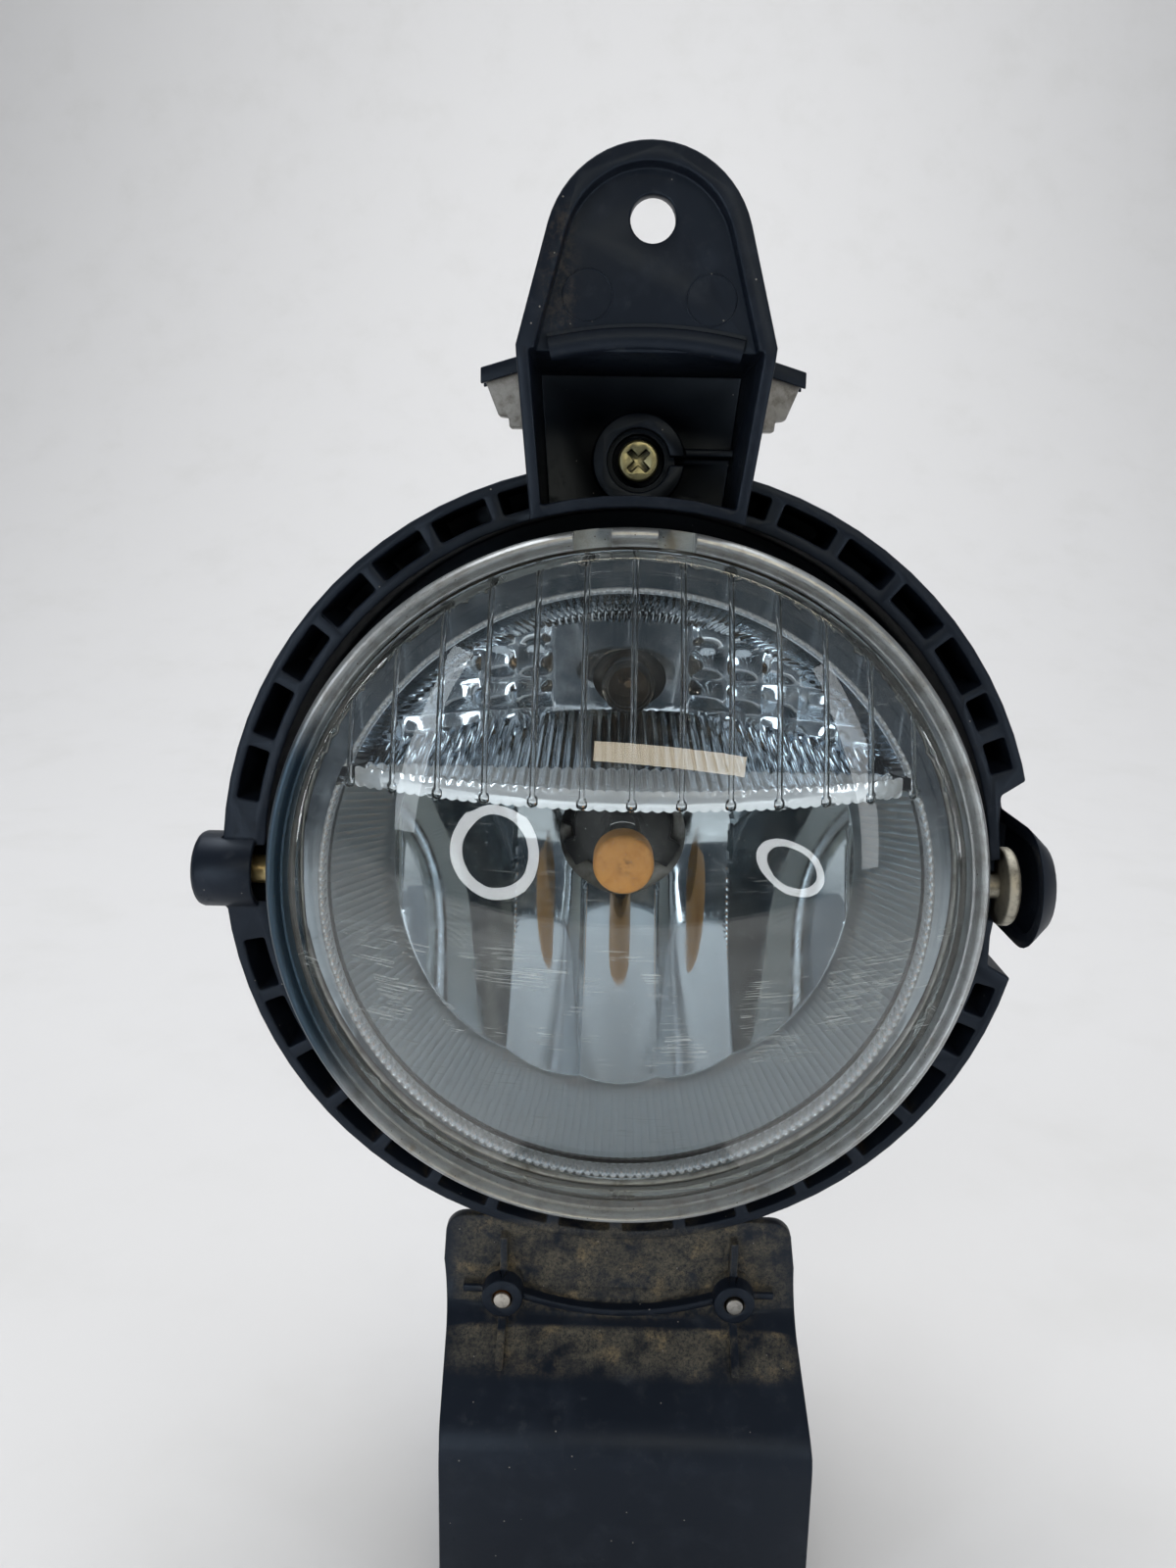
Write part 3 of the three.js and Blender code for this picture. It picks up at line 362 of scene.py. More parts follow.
def plastic():
    """Black moulded carrier plastic: satin and dusty, with tan dirt caked on the lower plate and painted
    shade deep in the adjuster's recess.
    """
    black = (0.0055, 0.0078, 0.0135)
    tint = (0.68, 0.82, 1.0, 1.0)
    paint = Paint("carrier_plastic", black, 0.45, Specular_IOR_Level=0.3, Specular_Tint=tint)
    wear = paint.noise(7, 5)
    paint.color(paint.ramp(wear, 0.48, 0.75), (0.0105, 0.014, 0.022))
    blotches = paint.ramp(paint.noise(2.2, 6, 0.7), 0.52, 0.72)
    dust = paint.math("MULTIPLY", blotches, paint.ramp(wear, 0.35, 0.65))
    paint.color(paint.math("MULTIPLY", dust, 0.22), (0.07, 0.078, 0.085))
    corners = paint.math("MULTIPLY", paint.corners(3.0), paint.ramp(paint.noise(1.4, 5, 0.65), 0.4, 0.62))
    low_down = paint.band("Z", -98, -35, 14)
    paint.color(paint.math("MULTIPLY", corners, low_down), (0.075, 0.064, 0.045))
    tab_side = paint.math("MULTIPLY", paint.band("Z", 90, 112, 5), paint.band("X", -17, -8.5, 4))
    tab_side = paint.math("MULTIPLY", tab_side, paint.ramp(paint.noise(1.5, 6, 0.7), 0.42, 0.66))
    paint.color(paint.math("MULTIPLY", tab_side, 0.6), (0.055, 0.046, 0.036))

    zone = paint.math("MULTIPLY", paint.band("Z", -96, -69, 3), paint.band("X", -34, 37, 7))
    zone = paint.math("MULTIPLY", zone, paint.band("Y", -9, 13, 1.5))
    fronts = paint.math("MULTIPLY", paint.band("Y", -4, 8.8, 0.4), paint.band("Z", -90.5, -73, 0.8))
    zone = paint.math("SUBTRACT", zone, fronts)
    caked = paint.ramp(paint.noise(7, 6, 0.62), 0.32, 0.62)
    fuzz = paint.ramp(paint.noise(0.7, 8, 0.9), 0.36, 0.62)
    grime = paint.math("MULTIPLY", zone, paint.math("MULTIPLY", caked, fuzz))
    paint.color(grime, (0.13, 0.117, 0.088))
    ochre = paint.math("MULTIPLY", grime, paint.ramp(paint.noise(6, 4, 0.6), 0.52, 0.68))
    paint.color(paint.math("MULTIPLY", ochre, 0.8), (0.26, 0.2, 0.11))

    # Painted shade: the adjuster's recess is darkened towards its deep corners, below the plastic's own
    # black.
    recess = paint.math("MULTIPLY", paint.band("Z", 58, 92, 3), paint.band("Y", 6, 60, 4))
    paint.color(paint.math("MULTIPLY", recess, paint.corners(14.0, 0.3, 1.0)), (0.0008, 0.0013, 0.0022))
    paint.color(paint.math("MULTIPLY", paint.specks(3.4, 0.05), 0.7), (0.26, 0.25, 0.23))
    paint.rough(paint.math("ADD", grime, dust), 0.42, 0.9)
    paint.bump(paint.noise(0.25, 4), 0.02, 0.35)
    paint.bump(paint.noise(1.6, 3), 0.05, 0.3)
    paint.bump(grime, 0.12, 0.6)
    return paint.material


def connector_plastic():
    """Dull black plastic of the bulbs' bases, with light dust."""
    paint = Paint("connector_plastic", (0.016, 0.016, 0.017), 0.5)
    dust = paint.ramp(paint.noise(3, 6, 0.7), 0.5, 0.75)
    paint.color(paint.math("MULTIPLY", dust, 0.4), (0.1, 0.095, 0.088))
    paint.rough(paint.noise(4), 0.4, 0.65)
    paint.bump(paint.noise(0.3), 0.02, 0.4)
    return paint.material


def cast_metal():
    """As-cast aluminium, darkened in its corners: dirt and painted shade."""
    paint = Paint("cast_metal", (0.36, 0.355, 0.34), 0.55, 0.85)
    paint.color(paint.ramp(paint.noise(3, 6, 0.7), 0.4, 0.72), (0.2, 0.19, 0.172))
    # Dirt and painted shade: the metal is darkened where its corners are shut in.
    paint.color(paint.corners(3.5), (0.07, 0.06, 0.048))
    paint.rough(paint.noise(1.5, 5), 0.45, 0.75)
    paint.bump(paint.noise(0.35, 4), 0.06, 0.6)
    paint.bump(paint.noise(2.5, 4), 0.1, 0.4)
    return paint.material


def bezel_metal():
    """Frosted silver-grey ring, brownish where it is worn, with a painted dark teal reflection down its
    left side.
    """
    paint = Paint("bezel_metal", (0.34, 0.36, 0.37), 0.4, 0.75)
    paint.color(paint.ramp(paint.noise(5, 7, 0.72), 0.42, 0.7), (0.23, 0.235, 0.23))
    paint.color(paint.ramp(paint.noise(9, 3, 0.6), 0.6, 0.76), (0.21, 0.18, 0.14))
    # Painted reflection: the ring's left side is darkened to the dark teal that it mirrors there.
    left_side_reflection = paint.math("MULTIPLY", paint.band("X", -75, -42, 14), paint.band("Z", -46, 36, 14))
    paint.color(left_side_reflection, (0.035, 0.06, 0.085))
    paint.color(paint.specks(1.5, 0.1), (0.09, 0.075, 0.06))
    paint.rough(paint.noise(4, 5), 0.24, 0.5)
    paint.bump(paint.noise(0.5, 2), 0.01, 0.25)
    return paint.material


def chrome(name, color, roughness, frosted_from=None, metallic=1.0):
    """Vacuum-metallised reflector with a faint haze and dust. It is frosted outside frosted_from."""
    paint = Paint(name, color, roughness[0], metallic)
    paint.color(paint.math("MULTIPLY", paint.specks(1.3, 0.09), 0.6), (0.3, 0.31, 0.3))
    haze = paint.ramp(paint.noise(6, 6, 0.65), 0.35, 0.75)
    if frosted_from:
        frost = paint.ring(frosted_from, 0.6)
        paint.color(frost, tuple(0.85 * c for c in color))
        haze = paint.math("ADD", paint.math("MULTIPLY", haze, 0.4), frost)
    paint.rough(haze, *roughness)
    paint.bump(paint.noise(2.0, 2), 0.008, 0.25)
    return paint.material


def clear(name, color, dusty):
    """Clear lens or glass. Dust and fine scratches lie on it as a thin rough film."""
    paint = Paint(name, color, 0.0, Transmission_Weight=1.0, IOR=1.49)
    if dusty:
        film = paint.math("MULTIPLY", paint.ramp(paint.noise(7, 6, 0.7), 0.4, 0.8), 0.035)
        dots = paint.math("MULTIPLY", paint.specks(0.9, 0.085), paint.ramp(paint.noise(10, 3), 0.42, 0.58))
        dots = paint.math("MULTIPLY", dots, 0.7)
        level = paint.math("MULTIPLY", paint.scratches(9.0, 0.16, 0.62, 4), paint.band("Z", -27, -1, 5))
        level = paint.math("MULTIPLY", level, 0.5)
        slanted = paint.math("MULTIPLY", paint.scratches(5.0, 0.14, 0.69, 38), 0.25)
        dirt = paint.math("ADD", paint.math("ADD", dots, film), paint.math("ADD", level, slanted))
        dull = paint.node("ShaderNodeBsdfDiffuse", values={"Color": (0.56, 0.6, 0.6, 1)})
        mixed = paint.node("ShaderNodeMixShader", {0: dirt, 1: paint.shader.outputs[0], 2: dull.outputs[0]})
        output = paint.tree.nodes["Material Output"]
        paint.tree.links.new(mixed.outputs[0], output.inputs["Surface"])
    return paint.material


def plated(name, color, dirt, roughness=(0.25, 0.5)):
    """Plated or plain small metal parts, darkened in their corners: dirt and painted shade."""
    paint = Paint(name, color, roughness[0], 0.9)
    paint.color(paint.ramp(paint.noise(1.6, 5, 0.7), 0.48, 0.72), tuple(0.55 * c for c in color))
    # Dirt and painted shade: the dirt colour is laid where the corners are shut in.
    paint.color(paint.corners(1.4), dirt)
    paint.rough(paint.noise(1.0, 5), *roughness)
    paint.bump(paint.noise(0.3, 3), 0.015, 0.5)
    return paint.material


def coating():
    """Matte orange-tan heat-proof coating on the bulb's tip."""
    paint = Paint("orange_coating", (0.5, 0.235, 0.06), 0.62)
    paint.color(paint.ramp(paint.noise(2.5, 5, 0.65), 0.42, 0.75), (0.4, 0.17, 0.04))
    # The coating is darker in a small, mottled spot at the middle of the tip.
    away = paint.node("ShaderNodeVectorMath", {0: paint.position}, operation="DISTANCE")
    away.inputs[1].default_value = lamp(0.4, 26.5, FOG_Z)
    middle = paint.ramp(away.outputs["Value"], 2.4 * MM, 0.6 * MM)
    worn = paint.math("MULTIPLY", middle, paint.ramp(paint.noise(0.8), 0.4, 0.6))
    paint.color(paint.math("MULTIPLY", worn, 0.7), (0.2, 0.095, 0.035))
    paint.rough(paint.noise(0.8), 0.5, 0.75)
    paint.bump(paint.noise(0.35), 0.02, 0.5)
    return paint.material


def soft_rubber():
    """Matte black rubber, greyer where it is dusty."""
    paint = Paint("soft_rubber", (0.022, 0.022, 0.021), 0.75)
    paint.color(paint.ramp(paint.noise(2, 5, 0.7), 0.5, 0.75), (0.06, 0.056, 0.05))
    paint.bump(paint.noise(0.4), 0.03, 0.5)
    return paint.material


def moulded_nylon():
    """Off-white nylon, darkened in its corners: dirt and painted shade."""
    paint = Paint("moulded_nylon", (0.55, 0.52, 0.45), 0.5, Subsurface_Weight=0.1)
    # Dirt and painted shade: the nylon is darkened where its corners are shut in.
    paint.color(paint.corners(2.0), (0.2, 0.17, 0.12))
    paint.bump(paint.noise(0.4), 0.02, 0.5)
    return paint.material


PLASTIC = plastic()
CONNECTOR = connector_plastic()
CAST = cast_metal()
BEZEL = bezel_metal()
CHROME = chrome("reflector_chrome", (0.53, 0.585, 0.625), (0.03, 0.3), SMOOTH_RADIUS)
# Painted light: the chamber's chrome and the bar's part-diffuse chrome are lighter copies of the reflector
# chrome, standing in for how brightly each is lit.
CHAMBER_CHROME_PAINTED_LIGHT = chrome("chamber_chrome_painted_light", (0.72, 0.77, 0.82), (0.03, 0.14))
BAR_CHROME_PAINTED_LIGHT = chrome("bar_chrome_painted_light", (0.88, 0.92, 0.97), (0.06, 0.2), metallic=0.72)
FLANGE_CHROME = chrome("flange_chrome", (0.34, 0.385, 0.43), (0.1, 0.2))
# Painted highlight: the beads' chrome is a lighter, part-diffuse copy of the reflector chrome, so that each
# bead shows as a bright dot.
BEAD_CHROME_PAINTED_HIGHLIGHT = chrome("bead_chrome_painted_highlight", (0.93, 0.96, 1.0), (0.1, 0.22), metallic=0.8)
LENS_CLEAR = clear("lens_clear", (0.95, 0.985, 0.985), True)
BULB_GLASS = clear("bulb_glass", (0.97, 0.98, 0.98), False)
SMOKED_GLASS = clear("smoked_glass", (0.5, 0.4, 0.3), False)
# The last colour of each is laid in its corners: dirt and painted shade, and rust on the rusty zinc.
YELLOW_ZINC = plated("yellow_zinc", (0.36, 0.345, 0.2), (0.02, 0.02, 0.014))
DIRTY_STEEL = plated("dirty_steel", (0.5, 0.475, 0.4), (0.12, 0.1, 0.07), (0.4, 0.7))
SPRING_STEEL = plated("spring_steel", (0.4, 0.39, 0.37), (0.05, 0.04, 0.03))
RUSTY_ZINC = plated("rusty_zinc", (0.6, 0.57, 0.52), (0.3, 0.12, 0.03), (0.4, 0.6))
BRASS = plated("dull_brass", (0.5, 0.4, 0.2), (0.08, 0.06, 0.03))
WIRE = plated("filament_wire", (0.35, 0.34, 0.33), (0.1, 0.1, 0.1))
COPPER = plated("tinned_copper", (0.6, 0.57, 0.5), (0.1, 0.08, 0.05))
ORANGE = coating()
RUBBER = soft_rubber()
NYLON = moulded_nylon()


# ---------- camera, light and floor ----------

CAMERA_PLACE = (-3.7, -196.3, 62.7)
CAMERA_PITCH, CAMERA_YAW, CAMERA_ROLL = math.radians(12.39), math.radians(-0.92), math.radians(1.07)
SENSOR, FOCAL_LENGTH = 36.0, 27.045


def camera():
    """The camera at the photograph's angle, with a roll of about one degree."""
    pitch, yaw, roll = CAMERA_PITCH, CAMERA_YAW, CAMERA_ROLL
    forward = Vector((math.sin(yaw) * math.cos(pitch), math.cos(yaw) * math.cos(pitch), -math.sin(pitch)))
    right = Vector((math.cos(yaw), -math.sin(yaw), 0))
    up = right.cross(forward)
    side = math.cos(roll) * right + math.sin(roll) * up
    top = -math.sin(roll) * right + math.cos(roll) * up
    data = bpy.data.cameras.new("camera")
    data.sensor_width = SENSOR
    data.lens = FOCAL_LENGTH
    data.clip_start = 0.01
    made = new_object("camera", data)
    turn = Matrix((side, top, -forward)).transposed()
    made.matrix_world = Matrix.Translation(lamp(*CAMERA_PLACE)) @ turn.to_4x4()
    bpy.context.scene.camera = made
    return made


def area_light(name, place, target, size, power, color=(1, 1, 1), height=None, mirrored=True, through=True):
    """A soft light. Without mirrored, shiny faces don't show it. Without through, the lens hides it."""
    data = bpy.data.lights.new(name, "AREA")
    data.shape = "RECTANGLE"
    data.size = size
    data.size_y = height or size
    data.energy = power
    data.color = color
    made = new_object(name, data)
    made.location = Vector(place)
    made.rotation_mode = "QUATERNION"
    made.rotation_quaternion = (Vector(target) - made.location).to_track_quat("-Z", "Y")
    made.visible_glossy = mirrored
    made.visible_transmission = through
    return made


FLOOR_GAP = 0.4 * MM  # how far the floor lies below the part
FLOOR_NEAR, FLOOR_FAR, FLOOR_HALF_WIDTH = -0.45, 0.6, 4.0  # in metres
WALL_BEND, WALL_HEIGHT, WALL_STEPS = 1.0, 4.0, 16


def pale_floor():
    """A pale floor that bends up into a wall behind the part."""
    floor_z = cad_low.z - FLOOR_GAP
    line = [(y, floor_z) for y in spread(FLOOR_NEAR, FLOOR_FAR, 6)]
    for i in range(1, WALL_STEPS + 1):
        angle = math.pi / 2 * i / WALL_STEPS
        y = FLOOR_FAR + WALL_BEND * math.sin(angle)
        line.append((y, floor_z + WALL_BEND * (1 - math.cos(angle))))
    line.append((FLOOR_FAR + WALL_BEND, floor_z + WALL_HEIGHT))
    mesh = bpy.data.meshes.new("floor")
    points = [(x, y, z) for y, z in line for x in (-FLOOR_HALF_WIDTH, FLOOR_HALF_WIDTH)]
    mesh.from_pydata(points, [], grid_faces(len(line), 2))
    floor = new_object("floor", mesh)
    rounded(floor, 60)
    paint = Paint("pale_floor", (0.6, 0.6, 0.605), 0.6)
    paint.color(paint.ramp(paint.noise(60, 4, 0.6), 0.45, 0.8), (0.575, 0.575, 0.575))
    paint.bump(paint.noise(1.2, 3), 0.02, 0.3)
    mesh.materials.append(paint.material)


TUBE_PLACE, TUBE_TARGET = (172, -830, 375), (6, -17, 28)
TUBE_SLANT = math.radians(-8)


def studio():
    """The floor, the room and soft lights, with a warm tube and two rings for the lens to mirror."""
    pale_floor()
    room()
    aim = lamp(0, 10, 10)
    ceiling = aim + Vector((-0.1, 0.55, 1.3))
    front = aim + Vector((-0.25, -1.2, 0.85))
    left = aim + Vector((-1.1, -0.75, 0.5))
    right = aim + Vector((1.15, -0.6, 0.35))
    wall = aim + Vector((0.0, 0.5, 1.6))
    area_light("ceiling", ceiling, aim + Vector((0, 0.25, -0.1)), 1.5, 11.0, height=0.7)
    area_light("front_high", front, aim, 0.5, 3.5, (1.0, 0.985, 0.96), 0.25, mirrored=False, through=False)
    area_light("left_strip", left, aim, 0.14, 2.6, (0.88, 0.94, 1.0), 1.1, mirrored=False)
    area_light("right_strip", right, aim, 0.14, 2.0, (0.95, 0.97, 1.0), 1.1, mirrored=False)
    area_light("wall_wash", wall, aim + Vector((0, 1.5, 0.1)), 1.6, 22.0)
    place, target, warm = lamp(*TUBE_PLACE), lamp(*TUBE_TARGET), (1.0, 0.88, 0.68)
    tube = area_light("warm_tube", place, target, 0.61, 1.5, warm, 0.08, through=False)
    tube.rotation_quaternion = tube.rotation_quaternion @ Quaternion((0, 0, 1), TUBE_SLANT)
    ring_light("left_ring", (-225, -362, -1), (-21, -18, 12), 85, 63, 1.0)
    ring_light("right_ring", (283, -322, -20), (160, -18, 120), 74, 54, 0.62)


def room():
    """An even pale room for the camera. Reflections find it dark toward the front, as in a dim studio."""
    world = bpy.data.worlds.new("room")
    bpy.context.scene.world = world
    world.use_nodes = True
    tree = world.node_tree
    background = tree.nodes["Background"]
    direction = tree.nodes.new("ShaderNodeTexCoord").outputs["Generated"]
    toward = tree.nodes.new("ShaderNodeVectorMath")
    toward.operation = "DOT_PRODUCT"
    toward.inputs[1].default_value = Vector((-0.05, -0.93, 0.36)).normalized()
    tree.links.new(direction, toward.inputs[0])
    share = tree.nodes.new("ShaderNodeMapRange")
    share.inputs["From Min"].default_value = -1.0
    tree.links.new(toward.outputs["Value"], share.inputs["Value"])
    ramp = tree.nodes.new("ShaderNodeValToRGB")
    tree.links.new(share.outputs["Result"], ramp.inputs[0])
    stops = [
        (0.0, (0.42, 0.43, 0.45)),
        (0.5, (0.42, 0.445, 0.48)),
        (0.66, (0.19, 0.21, 0.24)),
        (0.85, (0.055, 0.065, 0.078)),
        (1.0, (0.012, 0.015, 0.018)),
    ]
    ramp.color_ramp.elements.remove(ramp.color_ramp.elements[1])
    for place, color in stops:
        element = ramp.color_ramp.elements[0] if place == 0.0 else ramp.color_ramp.elements.new(place)
        element.color = (*color, 1)
    tree.links.new(ramp.outputs[0], background.inputs["Color"])
    plain = tree.nodes.new("ShaderNodeBackground")
    plain.inputs["Color"].default_value = (0.69, 0.69, 0.7, 1)
    seen = tree.nodes.new("ShaderNodeLightPath").outputs["Is Camera Ray"]
    either = tree.nodes.new("ShaderNodeMixShader")
    tree.links.new(seen, either.inputs[0])
    tree.links.new(background.outputs[0], either.inputs[1])
    tree.links.new(plain.outputs[0], either.inputs[2])
    tree.links.new(either.outputs[0], tree.nodes["World Output"].inputs["Surface"])


RING_TURN, RING_GLOW = math.radians(35), 13.0


def ring_light(name, place, target, outer, inner, squash):
    """A flat glowing ring in front of the lamp, in lamp millimetres. Only its reflections are seen."""
    segments = 96
    points = []
    for radius in (inner, outer):
        for j in range(segments):
            angle = 2 * math.pi * j / segments
            across = Vector((radius * math.cos(angle), squash * radius * math.sin(angle), 0))
            points.append(Matrix.Rotation(RING_TURN, 3, "Z") @ across * MM)
    mesh = bpy.data.meshes.new(name)
    mesh.from_pydata(points, [], grid_faces(2, segments, around=True))
    made = new_object(name, mesh)
    facing = (Vector(target) - Vector(place)).to_track_quat("Z", "Y")
    made.matrix_world = Matrix.Translation(lamp(*place)) @ facing.to_matrix().to_4x4()
    glow = bpy.data.materials.new(name)
    glow.use_nodes = True
    shader = glow.node_tree.nodes["Principled BSDF"]
    shader.inputs["Base Color"].default_value = (0, 0, 0, 1)
    shader.inputs["Emission Color"].default_value = (0.93, 0.97, 1.0, 1)
    shader.inputs["Emission Strength"].default_value = RING_GLOW
    mesh.materials.append(glow)
    made.visible_camera = False
    made.visible_shadow = False
    made.visible_transmission = False


# ---------- lens, bezel and seal ----------

FLUTE_PITCH = 7.75
FLUTE_MIDDLE = 0.3
FLUTE_END = 19.8
FLUTE_COUNT = 6  # flutes on each side of the middle one
FLUTE_RISE = 0.6
LENS_SEGMENTS = 200
SHOULDER = 1.6  # the radius between the lens's face and its outer edge
SKIRT_BACK = 3.5


def flute_height(x, z):
    """How far the lens's inner face stands in, for the upright flutes and the bead that ends each."""
    number = round((x - FLUTE_MIDDLE) / FLUTE_PITCH)
    off = abs(x - FLUTE_MIDDLE - number * FLUTE_PITCH)
    if abs(number) > FLUTE_COUNT:
        return 0.0
    rise = smoothstep(FLUTE_END - 0.4, FLUTE_END + 0.8, z)
    ridge = FLUTE_RISE * math.sqrt(max(0.0, 1 - (off / 0.48) ** 2)) * rise
    bead = FLUTE_RISE * math.sqrt(max(0.0, 1 - (math.hypot(off, z - FLUTE_END) / 0.85) ** 2))
    return max(ridge, bead)


def lens():
    """The clear dome: smooth outside, with flutes down the inside of its upper part."""
    half = 60.0
    offsets = (-0.86, -0.7, -0.49, -0.45, -0.36, -0.2, 0.0, 0.2, 0.36, 0.45, 0.49, 0.7, 0.86)
    columns = []
    for i in range(-FLUTE_COUNT - 1, FLUTE_COUNT + 2):
        centre = FLUTE_MIDDLE + i * FLUTE_PITCH
        columns += [centre + o for o in offsets]
        columns += [centre + FLUTE_PITCH * share for share in (0.25, 0.5, 0.75)]
    columns = sorted(x for x in columns if abs(x) < half)
    columns = [-half] + columns + [half]
    rows = spread(-half, 18, 30)[:-1] + spread(18, 22, 20)[:-1] + spread(22, half, 24)

    def sheet_y(x, z, inside):
        radius = min(math.hypot(x, z), 84)
        return lens_inside(radius) - flute_height(x, z) if inside else lens_front(radius)

    points = [(x, sheet_y(x, z, False), z) for z in rows for x in columns]
    points += [(x, sheet_y(x, z, True), z) for z in rows for x in columns]
    count = len(rows) * len(columns)
    front = grid_faces(len(rows), len(columns))
    back = [tuple(reversed([i + count for i in face])) for face in front]
    edge = list(range(len(columns)))
    edge += [i * len(columns) + len(columns) - 1 for i in range(1, len(rows))]
    edge += [(len(rows) - 1) * len(columns) + j for j in reversed(range(len(columns) - 1))]
    edge += [i * len(columns) for i in reversed(range(1, len(rows) - 1))]
    walls = []
    for a, b in zip(edge, edge[1:] + edge[:1]):
        walls.append((b, a, a + count, b + count))
    dome = outward(from_points("lens_dome", points, front + back + walls))
    can_radius = LENS_RADIUS - 1.4
    can = turned("lens_can", [[0, -40], [can_radius, -40], [can_radius, 40], [0, 40]], LENS_SEGMENTS)
    boolean(dome, can, "INTERSECT")

    middle = LENS_RADIUS - SHOULDER
    middle_y = lens_front(middle) + SHOULDER
    skirt = []
    for i in range(9):
        angle = math.radians(90 * i / 8)
        skirt.append([middle + SHOULDER * math.sin(angle), middle_y - SHOULDER * math.cos(angle)])
    skirt += [[LENS_RADIUS, SKIRT_BACK], [57.5, SKIRT_BACK], [57.5, lens_inside(57.3) + 0.4]]
    skirt += [[57.3, lens_inside(57.3)]]
    rim = turned("lens_rim", skirt, LENS_SEGMENTS)
    lugs = []
    for side in (-1, 1):
        xs = sorted((side * 4.1, side * 9.6))
        lugs.append(block(f"lens_lug_{side}", xs, (-0.3, 2.5), (57.9, 61.8)))
    for tool in [rim, *lugs]:
        boolean(dome, tool, "UNION")
    dome.name = "lens_glass"
    outward(dome)
    dress(rounded(dome, 35), LENS_CLEAR, "lamp_unit", "lens_clear", "lens")
    dome.visible_shadow = False


def bezel():
    """The rim ring: a frosted outer roll, a groove and a bright inner lip, with two notches at the top."""
    inner = [[59.4, 4.9], [59.4, -1.3], [59.5, -1.75], [59.8, -2.0], [60.05, -1.75], [60.25, -1.55]]
    roll = [[60.45, -1.75], [60.65, -2.3], [60.95, -2.75], [61.35, -2.98], [61.75, -2.9]]
    outer = [[62.1, -2.55], [62.35, -1.95], [62.5, -1.2], [62.5, 4.9]]
    ring = turned("bezel", inner + roll + outer, 256)
    for side in (-1, 1):
        xs = sorted((side * 3.7, side * 10.0))
        boolean(ring, block("notch", xs, (-6, 2.9), (54, 62.2)), "DIFFERENCE")
    outward(ring)
    return dress(rounded(ring, 28), BEZEL, "lamp_unit", "bezel_grey", "bezel_ring")


def seal():
    """The bead behind the lens's skirt."""
    ring = turned("seal_bead", [[57.4, 3.8], [57.9, 3.75], [58.7, 3.8], [58.7, 4.9], [57.4, 4.9]], 160)
    return dress(rounded(ring), RUBBER, "lamp_unit", "rubber", "lens_seal")


# ---------- reflectors ----------

STRIPS = (-43.5, -22.5, -7.5, 7.5, 22.5, 43.5)  # the edges of the bowl's upright strips
BOWL_BOTTOM, BOWL_CURVE = 55.0, 66.0
BOWL_FLUTES = 212
REFLECTOR_SPLIT = 17.0  # the bowl's share ends at this height
FLUTE_STEPS, BEAD_STEPS = 6, 8  # points along each flute and each bead


def bowl_depth(x, dz):
    """The main reflector's face, y at (x, height above the axis), with its upright strips."""
    radius = math.hypot(x, dz)
    squared = x * x
    bulge = 0.0
    if radius < SMOOTH_RADIUS:
        for left, right in zip(STRIPS, STRIPS[1:]):
            if left <= x <= right:
                share = (x - left) / (right - left)
                squared = left ** 2 + (right ** 2 - left ** 2) * share
                bulge = 0.9 * (1 - (2 * share - 1) ** 2)
                break
    return BOWL_BOTTOM - (squared + dz * dz) / BOWL_CURVE - bulge


def main_reflector():
    """The chrome bowl below the bar: smooth upright strips, then a fluted frosted band."""
    segments = BOWL_FLUTES * FLUTE_STEPS
    angles = [2 * math.pi * j / segments for j in range(segments)]
    points = []
    radii = [13.5] + spread(14.5, SMOOTH_RADIUS - 0.02, 46)
    for r in radii:
        for a in angles:
            x, dz = r * math.cos(a), r * math.sin(a)
            points.append((x, bowl_depth(x, dz), FOG_Z + dz))
    band = spread(SMOOTH_RADIUS, 53.4, 14)
    for r in band:
        fade = smoothstep(SMOOTH_RADIUS, SMOOTH_RADIUS + 1.6, r)
        for a in angles:
            wave = abs(math.sin(BOWL_FLUTES * a / 2)) ** 0.8
            depth = BOWL_BOTTOM - r * r / BOWL_CURVE - (0.2 * wave + 0.5) * fade
            points.append((r * math.cos(a), depth, FOG_Z + r * math.sin(a)))
    rows = len(radii) + len(band)
    bowl = from_points("reflector_bowl", points, grid_faces(rows, segments, around=True))
    trimmed(bowl, REFLECTOR_SPLIT, above=True)
    thick(facing(bowl, FORWARD), 0.8)
    beaded_rim("bowl_rim", REFLECTOR_SPLIT, above=True)
    flange()
    return dress(rounded(bowl, 24), CHROME, "lamp_unit", "chrome", "main_reflector")


def trimmed(piece, z, above):
    """Takes away what lies above, or below, a height in lamp millimetres."""
    bm = bmesh.new()
    bm.from_mesh(piece.data)
    everything = bm.verts[:] + bm.edges[:] + bm.faces[:]
    bmesh.ops.bisect_plane(
        bm, geom=everything, dist=1e-7, plane_co=lamp(0, 0, z), plane_no=(0, 0, 1 if above else -1),
        clear_outer=True)
    bm.to_mesh(piece.data)
    bm.free()
    return piece


def thick(piece, thickness):
    """Gives a sheet a thickness behind its faces, in millimetres."""
    solid = piece.modifiers.new("wall", "SOLIDIFY")
    solid.thickness = thickness * MM
    solid.offset = -1
    return applied(piece)


